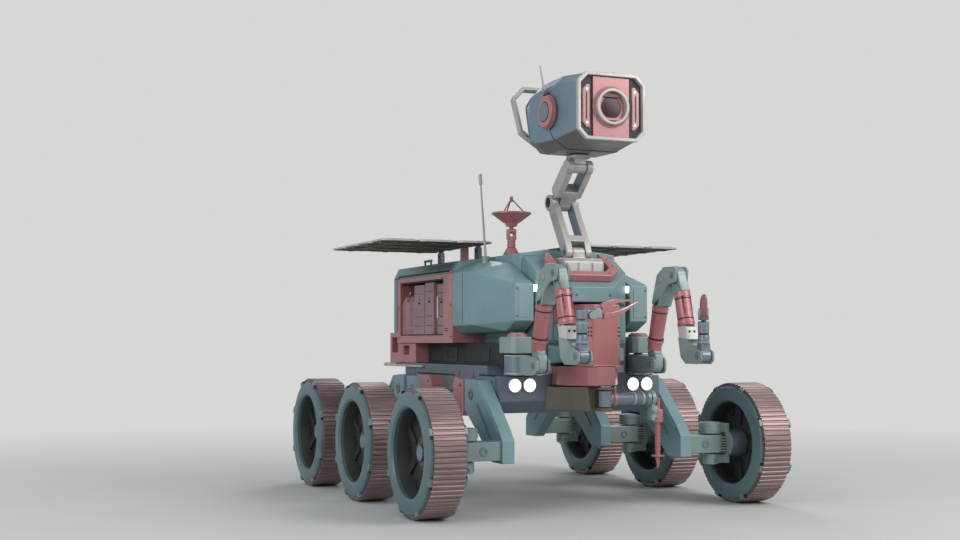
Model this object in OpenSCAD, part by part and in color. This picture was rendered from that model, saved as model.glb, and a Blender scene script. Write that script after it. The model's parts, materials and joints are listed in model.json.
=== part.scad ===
// Six-wheeled planetary rover with two working arms, a jointed camera mast,
// a tool boom, fold-up solar wings and side cargo bays.
// Forward is -Y, the rover's left is +X, and the ground is Z = 0.

/* [Running gear] */
// Radius of each wheel over its tread
wheel_r = 300; // [240:5:360]
// Width of each wheel
wheel_w = 190; // [140:5:190]
// Radius of the opening in each side of a wheel
rim_open_r = 205; // [150:5:220]
// Radius of a wheel's hub
hub_r = 80; // [60:5:100]
// Thickness of the web between hub and rim
web_t = 16; // [8:2:24]
// Distance between neighbouring axles
axle_step = 815; // [760:5:1100]
// Distance between left and right wheel middle planes
track_w = 1722; // [1500:2:2100]
// From a wheel's middle plane in to its steering axis
king_offset = 196; // [180:2:240]
// Radius of the steering pin
king_r = 20; // [14:1:26]
// Radius of the axle pin in a wheel's hub
axle_r = 25; // [16:1:30]

/* [Suspension arms] */
// Thickness of an arm plate
arm_t = 64; // [50:2:80]
// Height of an arm's top above the ground
arm_top_z = 622; // [600:2:640]

/* [Hull] */
// Width over the hull
hull_w = 900; // [800:10:1080]
// From the middle axle forward to the chassis front
chassis_front = 700; // [680:10:720]
// From the middle axle back to the hull's tail
hull_tail = 850; // [800:10:900]
// Height of the chassis floor
floor_z = 461; // [440:1:480]
// Height of the hull deck, where the cabin blocks start
deck_z = 800; // [790:1:810]
// Height of the roof's middle strip
roof_z = 1262; // [1250:1:1280]
// Thickness of the rear tray plate
tray_t = 12; // [8:1:16]

/* [Cargo bays] */
// Length of a cargo frame
cargo_l = 825; // [680:5:825]
// Height of a cargo frame
cargo_h = 366; // [356:2:376]
// Depth of a cargo bay
cargo_d = 200; // [150:5:210]
// Wall thickness of a cargo bay
cargo_wall = 14; // [8:1:20]

/* [Solar wings] */
// Length of one cell panel, front to back
cell_l = 216; // [180:2:260]
// Width of one cell panel
cell_w = 205; // [170:5:250]
// Thickness of a cell panel
cell_t = 10; // [8:1:14]
// Height of the panels' lower face
wing_z = 1316; // [1310:1:1330]

/* [Mast and head] */
// Length of the lower mast link
mast_lower_l = 310; // [250:5:380]
// Length of the upper mast link
mast_upper_l = 242; // [200:2:300]
// Width over the mast forks
mast_w = 140; // [120:2:170]
// Half width of the camera head
head_hw = 182; // [150:2:200]

/* [Working arms] */
// From the centre line to each arm's plane
arm_x = 315; // [300:1:330]
// Radius of the upper arm tube at its top
upper_r = 39; // [30:1:44]
// Radius of the forearm sleeve
sleeve_r = 38; // [30:1:42]
// Radius of the hand link
link_r = 26; // [20:1:28]
// Length of a gripper jaw
jaw_l = 165; // [120:5:200]

/* [Clearances] */
// Radial clearance of a pin in its bore
run_gap = 0.05; // [0.02:0.01:0.1]
// Side clearance between a fork's ears and the lug between them
ear_gap = 1.5; // [1:0.5:3]

/* [Hidden] */
$fn = 48;
EPS = 0.01;

// Colours
TEAL = [0.44, 0.54, 0.56];
ROSE = [0.75, 0.50, 0.51];
DARK = [0.28, 0.30, 0.36];
PALE = [0.74, 0.73, 0.71];
STEEL = [0.55, 0.57, 0.60];
BLUE = [0.37, 0.43, 0.49];
COPPER = [0.55, 0.44, 0.45];
OLIVE = [0.38, 0.36, 0.26];
LAMP = [1, 1, 1];

axle_z = wheel_r;
wheel_x = track_w / 2;
king_x = wheel_x - king_offset;
half_w = hull_w / 2;
side_in = half_w - 10;
arm_in = half_w - 2;
arm_out = arm_in + arm_t;
AXLES = [-axle_step, 0, axle_step];
hub_out = 20;
hub_in = 12;
rim_chamfer = 8;
tread_bevel = 12;
motor_r = 70;
king_head_r = 54;
king_foot_r = 38;
stub_hw = 58;
stub_hh = 44;
king_gap = 6;
king_head_h = 55;
king_foot_h = 53;
yoke_in = stub_hw + 8;
yoke_out = yoke_in + 18;
// Arm plate outline, as (y, z) from the axle, top leaning towards +Y
arm_top = arm_top_z - axle_z;
ARM_OUTLINE = [
    [381, arm_top], [209, arm_top], [-25, 100], [-70, 49],
    [-70, -59], [55, -59], [165, 30], [381, arm_top - 149]
];
ARM_LEAN = [1, 1, -1];
// Wedge-shaped pivot brackets beside the arm tops, as (y, z)
BRACKETS = [
    [[-432, 440], [-432, 620], [-330, 632], [-300, 590], [-340, 470]],
    [[-5, 452], [-5, 590], [25, 632], [200, 632], [16, 452]]
];
waist_hw = 360;
ledge_z = 640;
waist_front = -545;
core_hw = 250;
// Hexagonal housing under the chest, where the tool boom is carried
nose_front = -895;
slope = 31;
brow_y = -795;
brow_z = 1095;
ramp_l = 270;
front_hw = 250;
pod_in = 265;
ramp_y = brow_y + ramp_l * cos(slope);
ramp_z = brow_z + ramp_l * sin(slope);
bay_in = half_w - cargo_d;
// Lockers, as (share of their space before it, share it fills, height, inset from the frame)
LOCKERS = [[0.028, 0.295, 275, 24], [0.34, 0.28, 286, 8], [0.64, 0.336, 277, 8]];
canister_r = 42;
canister_gap = 10;
tray_bolt_x = 350;
tray_bolt_y = 880;
tray_bolt_r = 5.5;
cap_at = [335, -672];
wing_in = 255;
hinge_x = 262;
hinge_z = wing_z - 16;
hinge_pin_r = 6;
HINGES_Y = [-27, 500];
mast_hw = 110;
mast_y = -657;
mast_floor = 1130;
mast_hinge_z = 1248;
lug_hw = 34;
lower_lean = 32.2;
upper_lean = 48;
elbow_at = [mast_y + mast_lower_l * sin(lower_lean), mast_hinge_z + mast_lower_l * cos(lower_lean)];
neck_at = [elbow_at[0] - mast_upper_l * sin(upper_lean), elbow_at[1] + mast_upper_l * cos(upper_lean)];
neck_top = 57;
HEAD_TAIL = [362, 120, 390, 288, 40];
head_top = 409;
head_low = 87;
lens_z = 247;
frame_t = 16;
dish_at = [-216, -348];
dish_tilt_z = 1372;
dish_foot_z = 1287;
CELL_COLS = 3;
CELL_ROWS = 4;
cell_cut = 26;
cell_gap = 6;
boom_z = 536;
boom_y = -940;
boom_reach = 240;
boom_pin_r = 12;
turret_pin_r = 22;
ear_in = 24;
ear_out = 36;
pin_r = 9;
shoulder_at = [-878, 695];
elbow_pin_at = [-1088, 1122];
wrist_at = [-1306, 742];
hand_at = [-1306, 925];
// Swivel about the hand link's axis; turn sets where the hand points, from +X
HAND_TURN = [-122, 0];
HAND_TILT = [20, 15];
tilt_x = 44;
palm_l = 44;
jaw_pin = [62, 20];
jaw_pin_r = 5;
jaw_tip = jaw_pin[0] + jaw_l + 20;
// Moves the middle axle back so that the bounding box is centred on Y = 0:
// the left gripper's tip leads, and the rear wheels trail
front_reach = -hand_at[0] + 6 * abs(cos(HAND_TURN[0]))
    + (tilt_x + jaw_tip * cos(HAND_TILT[0]) + 7 * sin(HAND_TILT[0])) * sin(-HAND_TURN[0]);
centre_shift = (front_reach - axle_step - wheel_r) / 2;
cargo_z0 = deck_z;
bay_floor = cargo_z0 + 42;
cargo_y0 = -120;
// Side pod corners, as (x, y, z)
POD = [
    [pod_in, -715, 907], [366, -715, 907], [366, -715, 1088], [pod_in, -715, 1088],
    [half_w, -350, 893], [half_w, -350, 1160], [half_w, cargo_y0 - 4, 890],
    [half_w, cargo_y0 - 4, 1166], [pod_in, -451, 1206], [300, -204, 1228],
    [pod_in, cargo_y0 - 4, 1228], [300, cargo_y0 - 4, 1228], [366, -609, 858],
    [pod_in, -609, 850], [400, cargo_y0 - 4, 850], [pod_in, cargo_y0 - 4, 850]
];
cargo_y1 = cargo_y0 + cargo_l;
bay_y0 = cargo_y0 + 127;
bay_y1 = cargo_y1 - 44;
lockers_y1 = bay_y1 - 18 - 4 * canister_r - canister_gap;
cargo_z1 = cargo_z0 + cargo_h;
ROOF = twin([[half_w, deck_z], [half_w, cargo_z1 + 4], [half_w - 38, cargo_z1 + 62],
    [half_w - 120, roof_z - 24], [150, roof_z]]);
box_z0 = 668 + tray_t;
box_z1 = cargo_z0 + 60;
box_y1 = 862;
wing_y0 = -216;
head_y0 = -328;
// The head is laid out from the neck's pin.
// Sections of its shell, as (y, half width, top z, bottom z, corner cut)
HEAD = [
    [head_y0, head_hw - 3, 406, 90, 44],
    [-125, head_hw + 8, 426, 62, 50],
    [74, head_hw + 8, 425, 64, 54],
    [182, head_hw, 416, 84, 60]
];

module span(lo, hi) translate(lo) cube(hi - lo);

// Outline of (y, z) points, extruded along X
module slab_x(x0, x1, outline)
    translate([x0, 0, 0]) rotate([90, 0, 90]) linear_extrude(x1 - x0) polygon(outline);

// Outline of (x, z) points, extruded along Y
module slab_y(y0, y1, outline)
    translate([0, y1, 0]) rotate([90, 0, 0]) linear_extrude(y1 - y0) polygon(outline);

// Outline of (x, y) points, extruded along Z
module slab_z(z0, z1, outline)
    translate([0, 0, z0]) linear_extrude(z1 - z0) polygon(outline);

// Round bar along X at (y, z)
module bar_x(r, x0, x1, at)
    translate([x0, at[0], at[1]]) rotate([0, 90, 0]) cylinder(r = r, h = x1 - x0);

// Round bar along Z at (x, y)
module bar_z(r, z0, z1, at)
    translate([at[0], at[1], z0]) cylinder(r = r, h = z1 - z0);

// Outline mirrored in its first coordinate and joined to itself
function twin(points) = concat(points, [for (i = [len(points) - 1:-1:0]) [-points[i][0], points[i][1]]]);

// Convex solid through the given corner points
module solid_through(points)
    hull() polyhedron(points = points, faces = [[for (i = [0:len(points) - 1]) i]]);

module placed() translate([0, centre_shift, 0]) children();

module both_sides() for (s = [0, 1]) mirror([s, 0, 0]) children();

// One side only: side is +1 for the rover's left and -1 for its right
module on_side(side) mirror([side < 0 ? 1 : 0, 0, 0]) children();

// ---- Running gear ----

// Wheel about X, outer face towards +X
module wheel_body() {
    h = wheel_w / 2;
    outline = [
        [axle_r, -hub_in], [hub_r, -hub_in], [hub_r, -web_t / 2], [rim_open_r, -web_t / 2],
        [rim_open_r, rim_chamfer - h], [rim_open_r + rim_chamfer, -h],
        [wheel_r - tread_bevel, -h], [wheel_r, tread_bevel - h],
        [wheel_r, h - tread_bevel], [wheel_r - tread_bevel, h],
        [rim_open_r + rim_chamfer, h], [rim_open_r, h - rim_chamfer],
        [rim_open_r, web_t / 2], [hub_r, web_t / 2], [hub_r, hub_out], [axle_r, hub_out]
    ];
    rotate([0, 90, 0]) rotate_extrude($fn = 96) polygon(outline);
}

module wheel(side, row)
    color(COPPER) placed() on_side(side) translate([wheel_x, AXLES[row], axle_z]) wheel_body();

// Steering knuckle about its steering axis at axle height, wheel towards +X
module knuckle_body() {
    top = stub_hh + king_gap;
    bar_z(king_head_r, top, top + king_head_h, [0, 0]);
    bar_z(king_foot_r, -top - king_foot_h, -top, [0, 0]);
    bar_z(king_r - run_gap, -top, top, [0, 0]);
    span([0, -38, top + 6], [yoke_out, 38, top + king_head_h - 5]);
    span([0, -30, -top - king_foot_h + 5], [yoke_out, 30, -top - 6]);
    span([yoke_in, -45, -top - king_foot_h + 5], [yoke_out, 45, top + king_head_h - 5]);
    bar_x(motor_r, yoke_out, king_offset - hub_in - 6, [0, 0]);
    bar_x(axle_r - run_gap, yoke_out, king_offset + hub_out + 6, [0, 0]);
    bar_x(axle_r + 11, king_offset + hub_out + 5, king_offset + hub_out + 15, [0, 0]);
}

module knuckle(side, row)
    color(TEAL) placed() on_side(side) translate([king_x, AXLES[row], axle_z]) knuckle_body();

module suspension_arm(row) {
    translate([0, AXLES[row], axle_z]) mirror([0, ARM_LEAN[row] < 0 ? 1 : 0, 0]) {
        slab_x(arm_in, arm_out, ARM_OUTLINE);
        bar_x(60, side_in, arm_in + EPS, [300, arm_top - 80]);
        difference() {
            union() {
                span([arm_out - EPS, -stub_hw, -stub_hh], [king_x, stub_hw, stub_hh]);
                bar_z(stub_hw, -stub_hh, stub_hh, [king_x, 0]);
            }
            bar_z(king_r, -stub_hh - 1, stub_hh + 1, [king_x, 0]);
        }
    }
}

module suspension_arms() color(TEAL) placed() both_sides() for (row = [0:2]) suspension_arm(row);

module pivot_brackets() color(ROSE) placed() both_sides()
    for (b = BRACKETS)
        slab_x(side_in, arm_out + 10, b);

// ---- Chassis and hull ----

module chassis() color(DARK) placed() {
    front = -chassis_front;
    slab_x(-side_in, side_in, [
        [front, ledge_z], [front, 520], [front + 60, floor_z], [430, floor_z],
        [600, 620], [600, 668], [705, 668], [705, 690], [waist_front, 690], [waist_front, ledge_z]
    ]);
    span([-waist_hw, waist_front, 690 - EPS], [waist_hw, 450, deck_z]);
    span([-core_hw, front, ledge_z - EPS], [core_hw, waist_front + EPS, deck_z]);
}

module nose_housing() color(OLIVE) placed() difference() {
    union() {
        solid_through([
            [-200, -chassis_front, 480], [200, -chassis_front, 480],
            [-200, -chassis_front, 590], [200, -chassis_front, 590],
            [-60, nose_front, 478], [60, nose_front, 478],
            [-75, nose_front, 592], [75, nose_front, 592]
        ]);
        for (z = [boom_z - 58, boom_z + 41]) {
            bar_z(36, z, z + 15, [0, boom_y]);
            span([-36, boom_y, z], [36, nose_front + 1, z + 15]);
        }
    }
    bar_z(boom_pin_r, 470, 600, [0, boom_y]);
}

module centre_hull() color(TEAL) placed() {
    difference() {
        intersection() {
            slab_y(cargo_y0 - 440, hull_tail, ROOF);
            slab_z(deck_z, roof_z, twin([
                [pod_in, cargo_y0 - 440], [pod_in, cargo_y0], [half_w, cargo_y0],
                [half_w, hull_tail - 90], [half_w - 100, hull_tail]
            ]));
        }
        both_sides()
            span([bay_in, cargo_y0 - EPS, deck_z - 1], [half_w + 1, cargo_y1, cargo_z1]);
        span([-half_w - 1, cargo_y1 + 1, deck_z - 1], [half_w + 1, hull_tail + 1, box_z1]);
    }
    difference() {
        intersection() {
            slab_x(-front_hw, front_hw, [
                [cargo_y0 - 440 + EPS, deck_z], [-chassis_front, deck_z], [-chassis_front, 985],
                [-760, 998], [brow_y - 35, 998], [brow_y - 35, 1071], [brow_y, brow_z],
                [ramp_y, ramp_z], [cargo_y0 - 440 + EPS, ramp_z]
            ]);
            slab_z(deck_z, roof_z, twin([
                [114, brow_y - 35], [front_hw, -chassis_front], [front_hw, cargo_y0 - 440 + EPS]
            ]));
        }
        span([-mast_hw - 2, mast_y - 84, mast_floor], [mast_hw + 2, mast_y + 84, roof_z + 1]);
    }
    both_sides() solid_through([
        [100, -chassis_front, 700], [185, -chassis_front, 700], [100, -chassis_front, 790],
        [185, -chassis_front, 790], [102, -830, 715], [165, -830, 715], [102, -830, 775],
        [165, -830, 775]
    ]);
}

module side_pods() color(TEAL) placed() both_sides() solid_through(POD);

module collar() color(ROSE) placed()
    translate([0, brow_y, brow_z]) rotate([slope, 0, 0]) difference() {
        slab_z(0, 40, twin([[115, 4], [185, 75], [185, 170], [150, 235]]));
        slab_z(-1, 41, twin([[96, 48], [134, 86], [134, 236]]));
    }

module chest() color(ROSE) placed() {
    back = -chassis_front;
    slab_z(690, 985, twin([[64, -945], [100, -908], [100, back]]));
    slab_z(596, 690 + EPS, twin([[49, -950], [80, -915], [165, -760], [165, back]]));
}

module cargo_frames() color(ROSE) placed() both_sides() {
    difference() {
        span([bay_in, cargo_y0, cargo_z0], [half_w, cargo_y1, cargo_z1]);
        span([bay_in + cargo_wall, bay_y0, bay_floor], [half_w + 1, bay_y1, cargo_z1 - 27]);
        span([bay_in - 1, cargo_y0 + cargo_wall, cargo_z0 + cargo_wall],
            [half_w - 30, cargo_y0 + 110, cargo_z1 - cargo_wall]);
    }
}

module cargo_load() color(COPPER) placed() both_sides() {
    for (l = LOCKERS) {
        front = bay_y0 + l[0] * (lockers_y1 - bay_y0);
        span([bay_in + cargo_wall + 10, front, bay_floor],
            [half_w - l[3], front + l[1] * (lockers_y1 - bay_y0), bay_floor + l[2]]);
    }
    for (i = [0, 1]) {
        r = canister_r;
        y = bay_y1 - 6 - r - i * (2 * r + canister_gap);
        translate([half_w - 4 - r, y, bay_floor]) rotate_extrude() polygon([
            [0, 0], [r, 0], [r, 180], [r - 14, 215], [r - 34, 232], [0, 236]
        ]);
    }
}

module rear_box() color(ROSE) placed() {
    difference() {
        union() {
            span([-side_in + 4, 450 + EPS, box_z0 + 10], [side_in - 4, 706, cargo_z0 - EPS]);
            span([-side_in + 4, 706, box_z0], [side_in - 4, box_y1, cargo_z0 - EPS]);
            span([-side_in + 4, cargo_y1 + 1 + EPS, cargo_z0 - 1], [side_in - 4, box_y1, box_z1 - EPS]);
        }
        both_sides() {
            span([side_in - 40, 732, 746], [side_in, 832, 832]);
            span([side_in - 40, 550, 735], [side_in, 644, 785]);
        }
    }
}

module rear_tray() color(PALE) placed() difference() {
    span([-half_w - 8, 300, 668], [half_w + 8, 915, box_z0 - EPS]);
    span([-side_in - 1, 299, 667], [side_in + 1, 706, 700]);
    both_sides() bar_z(tray_bolt_r, 660, 700, [tray_bolt_x, tray_bolt_y]);
}

module shoulder_caps() color(TEAL) placed() both_sides() {
    difference() {
        union() {
            slab_z(750, 831, [
                [cap_at[0] - 62, -725], [cap_at[0] - 40, -745], [cap_at[0] + 40, -745],
                [cap_at[0] + 62, -725], [cap_at[0] + 62, -600], [waist_hw + 10, waist_front],
                [cap_at[0] - 62, waist_front]
            ]);
            bar_z(48, 831 - EPS, 845, cap_at);
        }
        bar_z(turret_pin_r, 749, 796, cap_at);
    }
}

module headlights() color(LAMP) placed() both_sides()
    for (x = [285, 363]) translate([x, -chassis_front, 597]) rotate([90, 0, 0])
        cylinder(r = 34, h = 9);

module whip_antenna() color(PALE) placed() translate([-315, -245, 0]) {
    difference() {
        bar_z(20, 1200, 1246, [0, 0]);
        translate([315, 245, 0]) on_side(-1) solid_through(POD);
    }
    translate([0, 0, 1244]) rotate([2, -5, 0]) {
        cylinder(r1 = 7, r2 = 4, h = 372);
        translate([0, 0, 370]) cylinder(r = 9, h = 56);
    }
}

// Hinge forks, wing props and the dish foot, cut to the roof they stand on
module roof_fittings() color(ROSE) placed() difference() {
    union() {
        both_sides() {
            for (y = HINGES_Y) {
                difference() {
                    span([hinge_x - 12, y - 24, 1230], [hinge_x + 12, y + 24, hinge_z + 8]);
                    span([hinge_x - 13, y - 14, hinge_z - 17], [hinge_x + 13, y + 14, hinge_z + 9]);
                }
                translate([hinge_x, y + 15, hinge_z]) rotate([90, 0, 0])
                    cylinder(r = hinge_pin_r - run_gap, h = 30);
            }
            span([323, -45, 1220], [359, -9, wing_z - 11]);
        }
        translate([dish_at[0], dish_at[1], 0]) difference() {
            translate([0, 0, dish_foot_z - 46]) cylinder(r1 = 48, r2 = 24, h = 46 - 1);
            bar_z(10, 1200, 1300, [0, 0]);
        }
    }
    slab_y(cargo_y0 - 440, hull_tail, ROOF);
}

module mast_base() color(PALE) placed() {
    slab_x(-mast_hw, mast_hw, [
        [mast_y - 80, mast_floor], [mast_y - 80, 1200], [mast_y - 60, 1218], [mast_y + 60, 1218],
        [mast_y + 80, 1200], [mast_y + 80, mast_floor]
    ]);
    slab_x(-lug_hw, lug_hw, [
        [mast_y - 26, 1217], [mast_y - 26, mast_hinge_z], [mast_y + 26, mast_hinge_z],
        [mast_y + 26, 1217]
    ]);
    bar_x(26, -lug_hw, lug_hw, [mast_y, mast_hinge_z]);
    bar_x(12 - run_gap, -mast_w / 2 + 4, mast_w / 2 - 4, [mast_y, mast_hinge_z]);
}

// ---- Mast ----

// Local frame of a link: Z along the link, X across the rover
module link_frame(at, lean) translate([0, at[0], at[1]]) rotate([lean, 0, 0]) children();

module mast_lower() color(PALE) placed() link_frame([mast_y, mast_hinge_z], -lower_lean) {
    h = mast_w / 2;
    inner = lug_hw + ear_gap;
    difference() {
        union() {
            slab_x(-h, h, [
                [-27, 0], [-34, 30], [-34, mast_lower_l - 50], [-24, mast_lower_l],
                [24, mast_lower_l], [34, mast_lower_l - 50], [34, 30], [27, 0]
            ]);
            both_sides() bar_x(42, inner, h + 6, [0, mast_lower_l]);
            bar_x(27, -h, h, [0, 0]);
        }
        span([-inner, -60, -60], [inner, 60, 46]);
        span([-inner, -60, 84], [inner, 60, mast_lower_l - 66]);
        bar_x(52, -inner, inner, [0, mast_lower_l]);
        span([-inner, -60, mast_lower_l - 66 - EPS], [inner, 60, mast_lower_l + 60]);
        bar_x(12, -h - 1, h + 1, [0, 0]);
    }
    bar_x(14 - run_gap, -inner - 4, inner + 4, [0, mast_lower_l]);
}

module mast_upper() color(PALE) placed() link_frame(elbow_at, upper_lean) {
    h = mast_w / 2;
    inner = lug_hw + ear_gap;
    difference() {
        union() {
            bar_x(42, -lug_hw, lug_hw, [0, 0]);
            slab_x(-lug_hw, lug_hw, [[-36, 0], [-36, 70], [36, 70], [36, 0]]);
            slab_x(-h, h, [
                [-36, 66], [-36, mast_upper_l - 20], [36, mast_upper_l - 20], [36, 66], [20, 54],
                [-20, 54]
            ]);
            bar_x(36, -h, h, [0, mast_upper_l]);
        }
        bar_x(14, -h - 1, h + 1, [0, 0]);
        span([-inner, -60, 104], [inner, 60, mast_upper_l + 60]);
    }
    bar_x(12 - run_gap, -inner - 4, inner + 4, [0, mast_upper_l]);
}

// Carries what is laid out from the neck's pin
module on_neck() placed() translate([0, neck_at[0], neck_at[1]]) children();

module neck() color(PALE) on_neck() {
    difference() {
        union() {
            bar_x(30, -lug_hw, lug_hw, [0, 0]);
            span([-lug_hw, -26, 0], [lug_hw, 26, neck_top - 14]);
            bar_z(60, neck_top - 15, neck_top, [0, 0]);
        }
        bar_x(12, -lug_hw - 1, lug_hw + 1, [0, 0]);
    }
    bar_z(20 - run_gap, neck_top - EPS, neck_top + 30, [0, 0]);
}

// ---- Camera head ----

// Eight-sided outline of the head, as (x, z)
function head_outline(w, top, low, cut) = [
    [w - cut, low], [w, low + cut], [w, top - cut], [w - cut, top],
    [cut - w, top], [-w, top - cut], [-w, low + cut], [cut - w, low]
];

function head_ring(s) = [for (p = head_outline(s[1], s[2], s[3], s[4])) [p[0], s[0], p[1]]];

module head_shell() color(BLUE) on_neck() difference() {
    union() {
        for (i = [0:len(HEAD) - 2])
            solid_through(concat(head_ring(HEAD[i]), head_ring(HEAD[i + 1])));
        solid_through(concat(head_ring(HEAD[len(HEAD) - 1]), head_ring(HEAD_TAIL)));
    }
    bar_z(20, neck_top - 30, neck_top + 40, [0, 0]);
}

module head_face() color(PALE) on_neck() {
    difference() {
        slab_y(head_y0 - 24, head_y0, head_outline(head_hw, head_top, head_low, 45));
        slab_y(head_y0 - 25, head_y0 - 6, head_outline(head_hw - frame_t, head_top - frame_t,
            head_low + frame_t, 38));
    }
    translate([0, head_y0 - 5, lens_z]) rotate([90, 0, 0]) difference() {
        cylinder(r = 87, h = 32);
        translate([0, 0, 2]) cylinder(r = 72, h = 31);
    }
}

module head_ears() color(ROSE) on_neck() both_sides() {
    bar_x(79, head_hw + 8, head_hw + 42, [-74, 251]);
    translate([head_hw + 24, -56, 322]) rotate([-20, 0, 0]) cylinder(r1 = 7, r2 = 4, h = 182);
}

// Ring that frames the head's rear, as (y, z) centre line leaning back
module head_rear_ring() color(PALE) on_neck() difference() {
    translate([0, 270, 258]) rotate([-27, 0, 0]) difference() {
        slab_y(-16, 16, head_outline(head_hw + 30, 214, -150, 74));
        slab_y(-17, 17, head_outline(head_hw + 12, 196, -132, 66));
    }
    solid_through(concat(head_ring(HEAD[len(HEAD) - 1]), head_ring(HEAD_TAIL)));
}

// ---- Dish ----

module dish_mount() color(ROSE) placed() {
    translate([dish_at[0], dish_at[1], 0]) {
        bar_z(20, dish_foot_z, 1330, [0, 0]);
        difference() {
            span([-22, -15, 1328], [22, 15, dish_tilt_z + 10]);
            span([-13, -16, 1344], [13, 16, dish_tilt_z + 11]);
        }
        bar_x(6 - run_gap, -14, 14, [0, dish_tilt_z]);
        bar_z(10 - run_gap, dish_foot_z - 30, dish_foot_z + 1, [0, 0]);
    }
}

module dish() color(ROSE) placed() translate([dish_at[0], dish_at[1], dish_tilt_z]) {
    difference() {
        bar_x(14, -11.5, 11.5, [0, 0]);
        bar_x(6, -12, 12, [0, 0]);
    }
    rotate_extrude() polygon([
        [0, 22], [26, 22], [34, 40], [100, 88], [102, 94], [98, 94], [34, 50], [0, 46]
    ]);
    bar_z(11, 12, 24, [0, 0]);
    for (a = [90, 210, 330]) rotate([0, 0, a]) translate([82, 0, 78])
        rotate([0, -43, 0]) cylinder(r = 3.5, h = 112);
    bar_z(8, 150, 178, [0, 0]);
}

// ---- Wings ----

module cell() {
    w = cell_w - cell_gap;
    l = cell_l - cell_gap;
    linear_extrude(cell_t) polygon([
        [cell_cut, 0], [w - cell_cut, 0], [w, cell_cut], [w, l - cell_cut], [w - cell_cut, l],
        [cell_cut, l], [0, l - cell_cut], [0, cell_cut]
    ]);
}

module wing(side) color(OLIVE) placed() on_side(side) {
    for (c = [0:CELL_COLS - 1]) for (r = [0:CELL_ROWS - 1])
        translate([wing_in + c * cell_w, wing_y0 + r * cell_l, wing_z]) cell();
    for (r = [0:CELL_ROWS - 1])
        span([wing_in + 20, wing_y0 + (r + 0.5) * cell_l - 12, wing_z - 5],
            [wing_in + CELL_COLS * cell_w - 30, wing_y0 + (r + 0.5) * cell_l + 12, wing_z + EPS]);
    for (y = HINGES_Y) translate([hinge_x, y + 12, hinge_z]) rotate([90, 0, 0]) difference() {
        union() {
            cylinder(r = 11, h = 24);
            span([-11, 0, 0], [11, 16 + EPS, 24]);
        }
        translate([0, 0, -1]) cylinder(r = hinge_pin_r, h = 26);
    }
    for (c = [0:CELL_COLS - 1])
        span([wing_in + (c + 0.5) * cell_w - 12, wing_y0 + 30, wing_z - 5],
            [wing_in + (c + 0.5) * cell_w + 12, wing_y0 + CELL_ROWS * cell_l - 40, wing_z + EPS]);
}

// ---- Tool boom ----

module boom() color(STEEL) placed() {
    bar_z(31, boom_z - 39, boom_z + 37, [0, boom_y]);
    bar_z(boom_pin_r - run_gap, boom_z - 56, boom_z + 54, [0, boom_y]);
    bar_x(29, 10, boom_reach - 24, [boom_y, boom_z]);
    bar_x(38, boom_reach - 24, boom_reach - 4, [boom_y, boom_z]);
    bar_x(12 - run_gap, boom_reach - 5, boom_reach + 30, [boom_y, boom_z]);
}

module drill() color(ROSE) placed() difference() {
    union() {
        bar_x(38, boom_reach, boom_reach + 20, [boom_y, boom_z]);
        span([boom_reach, boom_y - 24, 430], [boom_reach + 20, boom_y + 24, boom_z]);
        span([boom_reach + 19, boom_y - 20, 440], [boom_reach + 34, boom_y + 20, 500]);
        bar_z(13, 480, boom_z, [boom_reach + 46, boom_y]);
        bar_z(26, 420, 482, [boom_reach + 46, boom_y]);
        bar_z(12, 262, 422, [boom_reach + 46, boom_y]);
        bar_z(32, 256, 263, [boom_reach + 46, boom_y]);
        translate([boom_reach + 46, boom_y, 200]) cylinder(r1 = 3, r2 = 13, h = 57);
    }
    bar_x(12, boom_reach - 1, boom_reach + 31, [boom_y, boom_z]);
}

// ---- Working arms ----

module turret(side) color(STEEL) placed() on_side(side) {
    bar_z(64, 645, 744, cap_at);
    bar_z(turret_pin_r - run_gap, 743, 790, cap_at);
    difference() {
        slab_x(arm_x - ear_out, arm_x + ear_out, [
            [-690, 650], [-690, 738], [-830, 738], [-904, 734], [-922, 716], [-922, 672],
            [-904, 654], [-820, 648]
        ]);
        span([arm_x - ear_in, -960, 600], [arm_x + ear_in, -795, 800]);
    }
    bar_x(pin_r - run_gap, arm_x - ear_in - 1, arm_x + ear_in + 1, shoulder_at);
}

module upper_arm(side) color(ROSE) placed() on_side(side) translate([arm_x, 0, 0]) {
    lug = ear_in - ear_gap;
    difference() {
        union() {
            bar_x(36, -lug, lug, shoulder_at);
            slab_x(-lug, lug, [[-842, 695], [-838, 762], [-884, 776], [-914, 740], [-914, 695]]);
        }
        bar_x(pin_r, -lug - 1, lug + 1, shoulder_at);
    }
    translate([0, -864, 765]) rotate([16.5, 0, 0]) cylinder(r1 = 34, r2 = upper_r, h = 238);
    difference() {
        slab_x(-ear_out, ear_out, [
            [-900, 994], [-968, 976], [-1000, 1036], [-1052, 1078], [-1118, 1088], [-1126, 1150],
            [-1104, 1164], [-1010, 1166], [-950, 1130]
        ]);
        span([-ear_in, -1200, 1040], [ear_in, -1036, 1200]);
    }
    bar_x(pin_r - run_gap, -ear_in - 1, ear_in + 1, elbow_pin_at);
}

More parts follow.
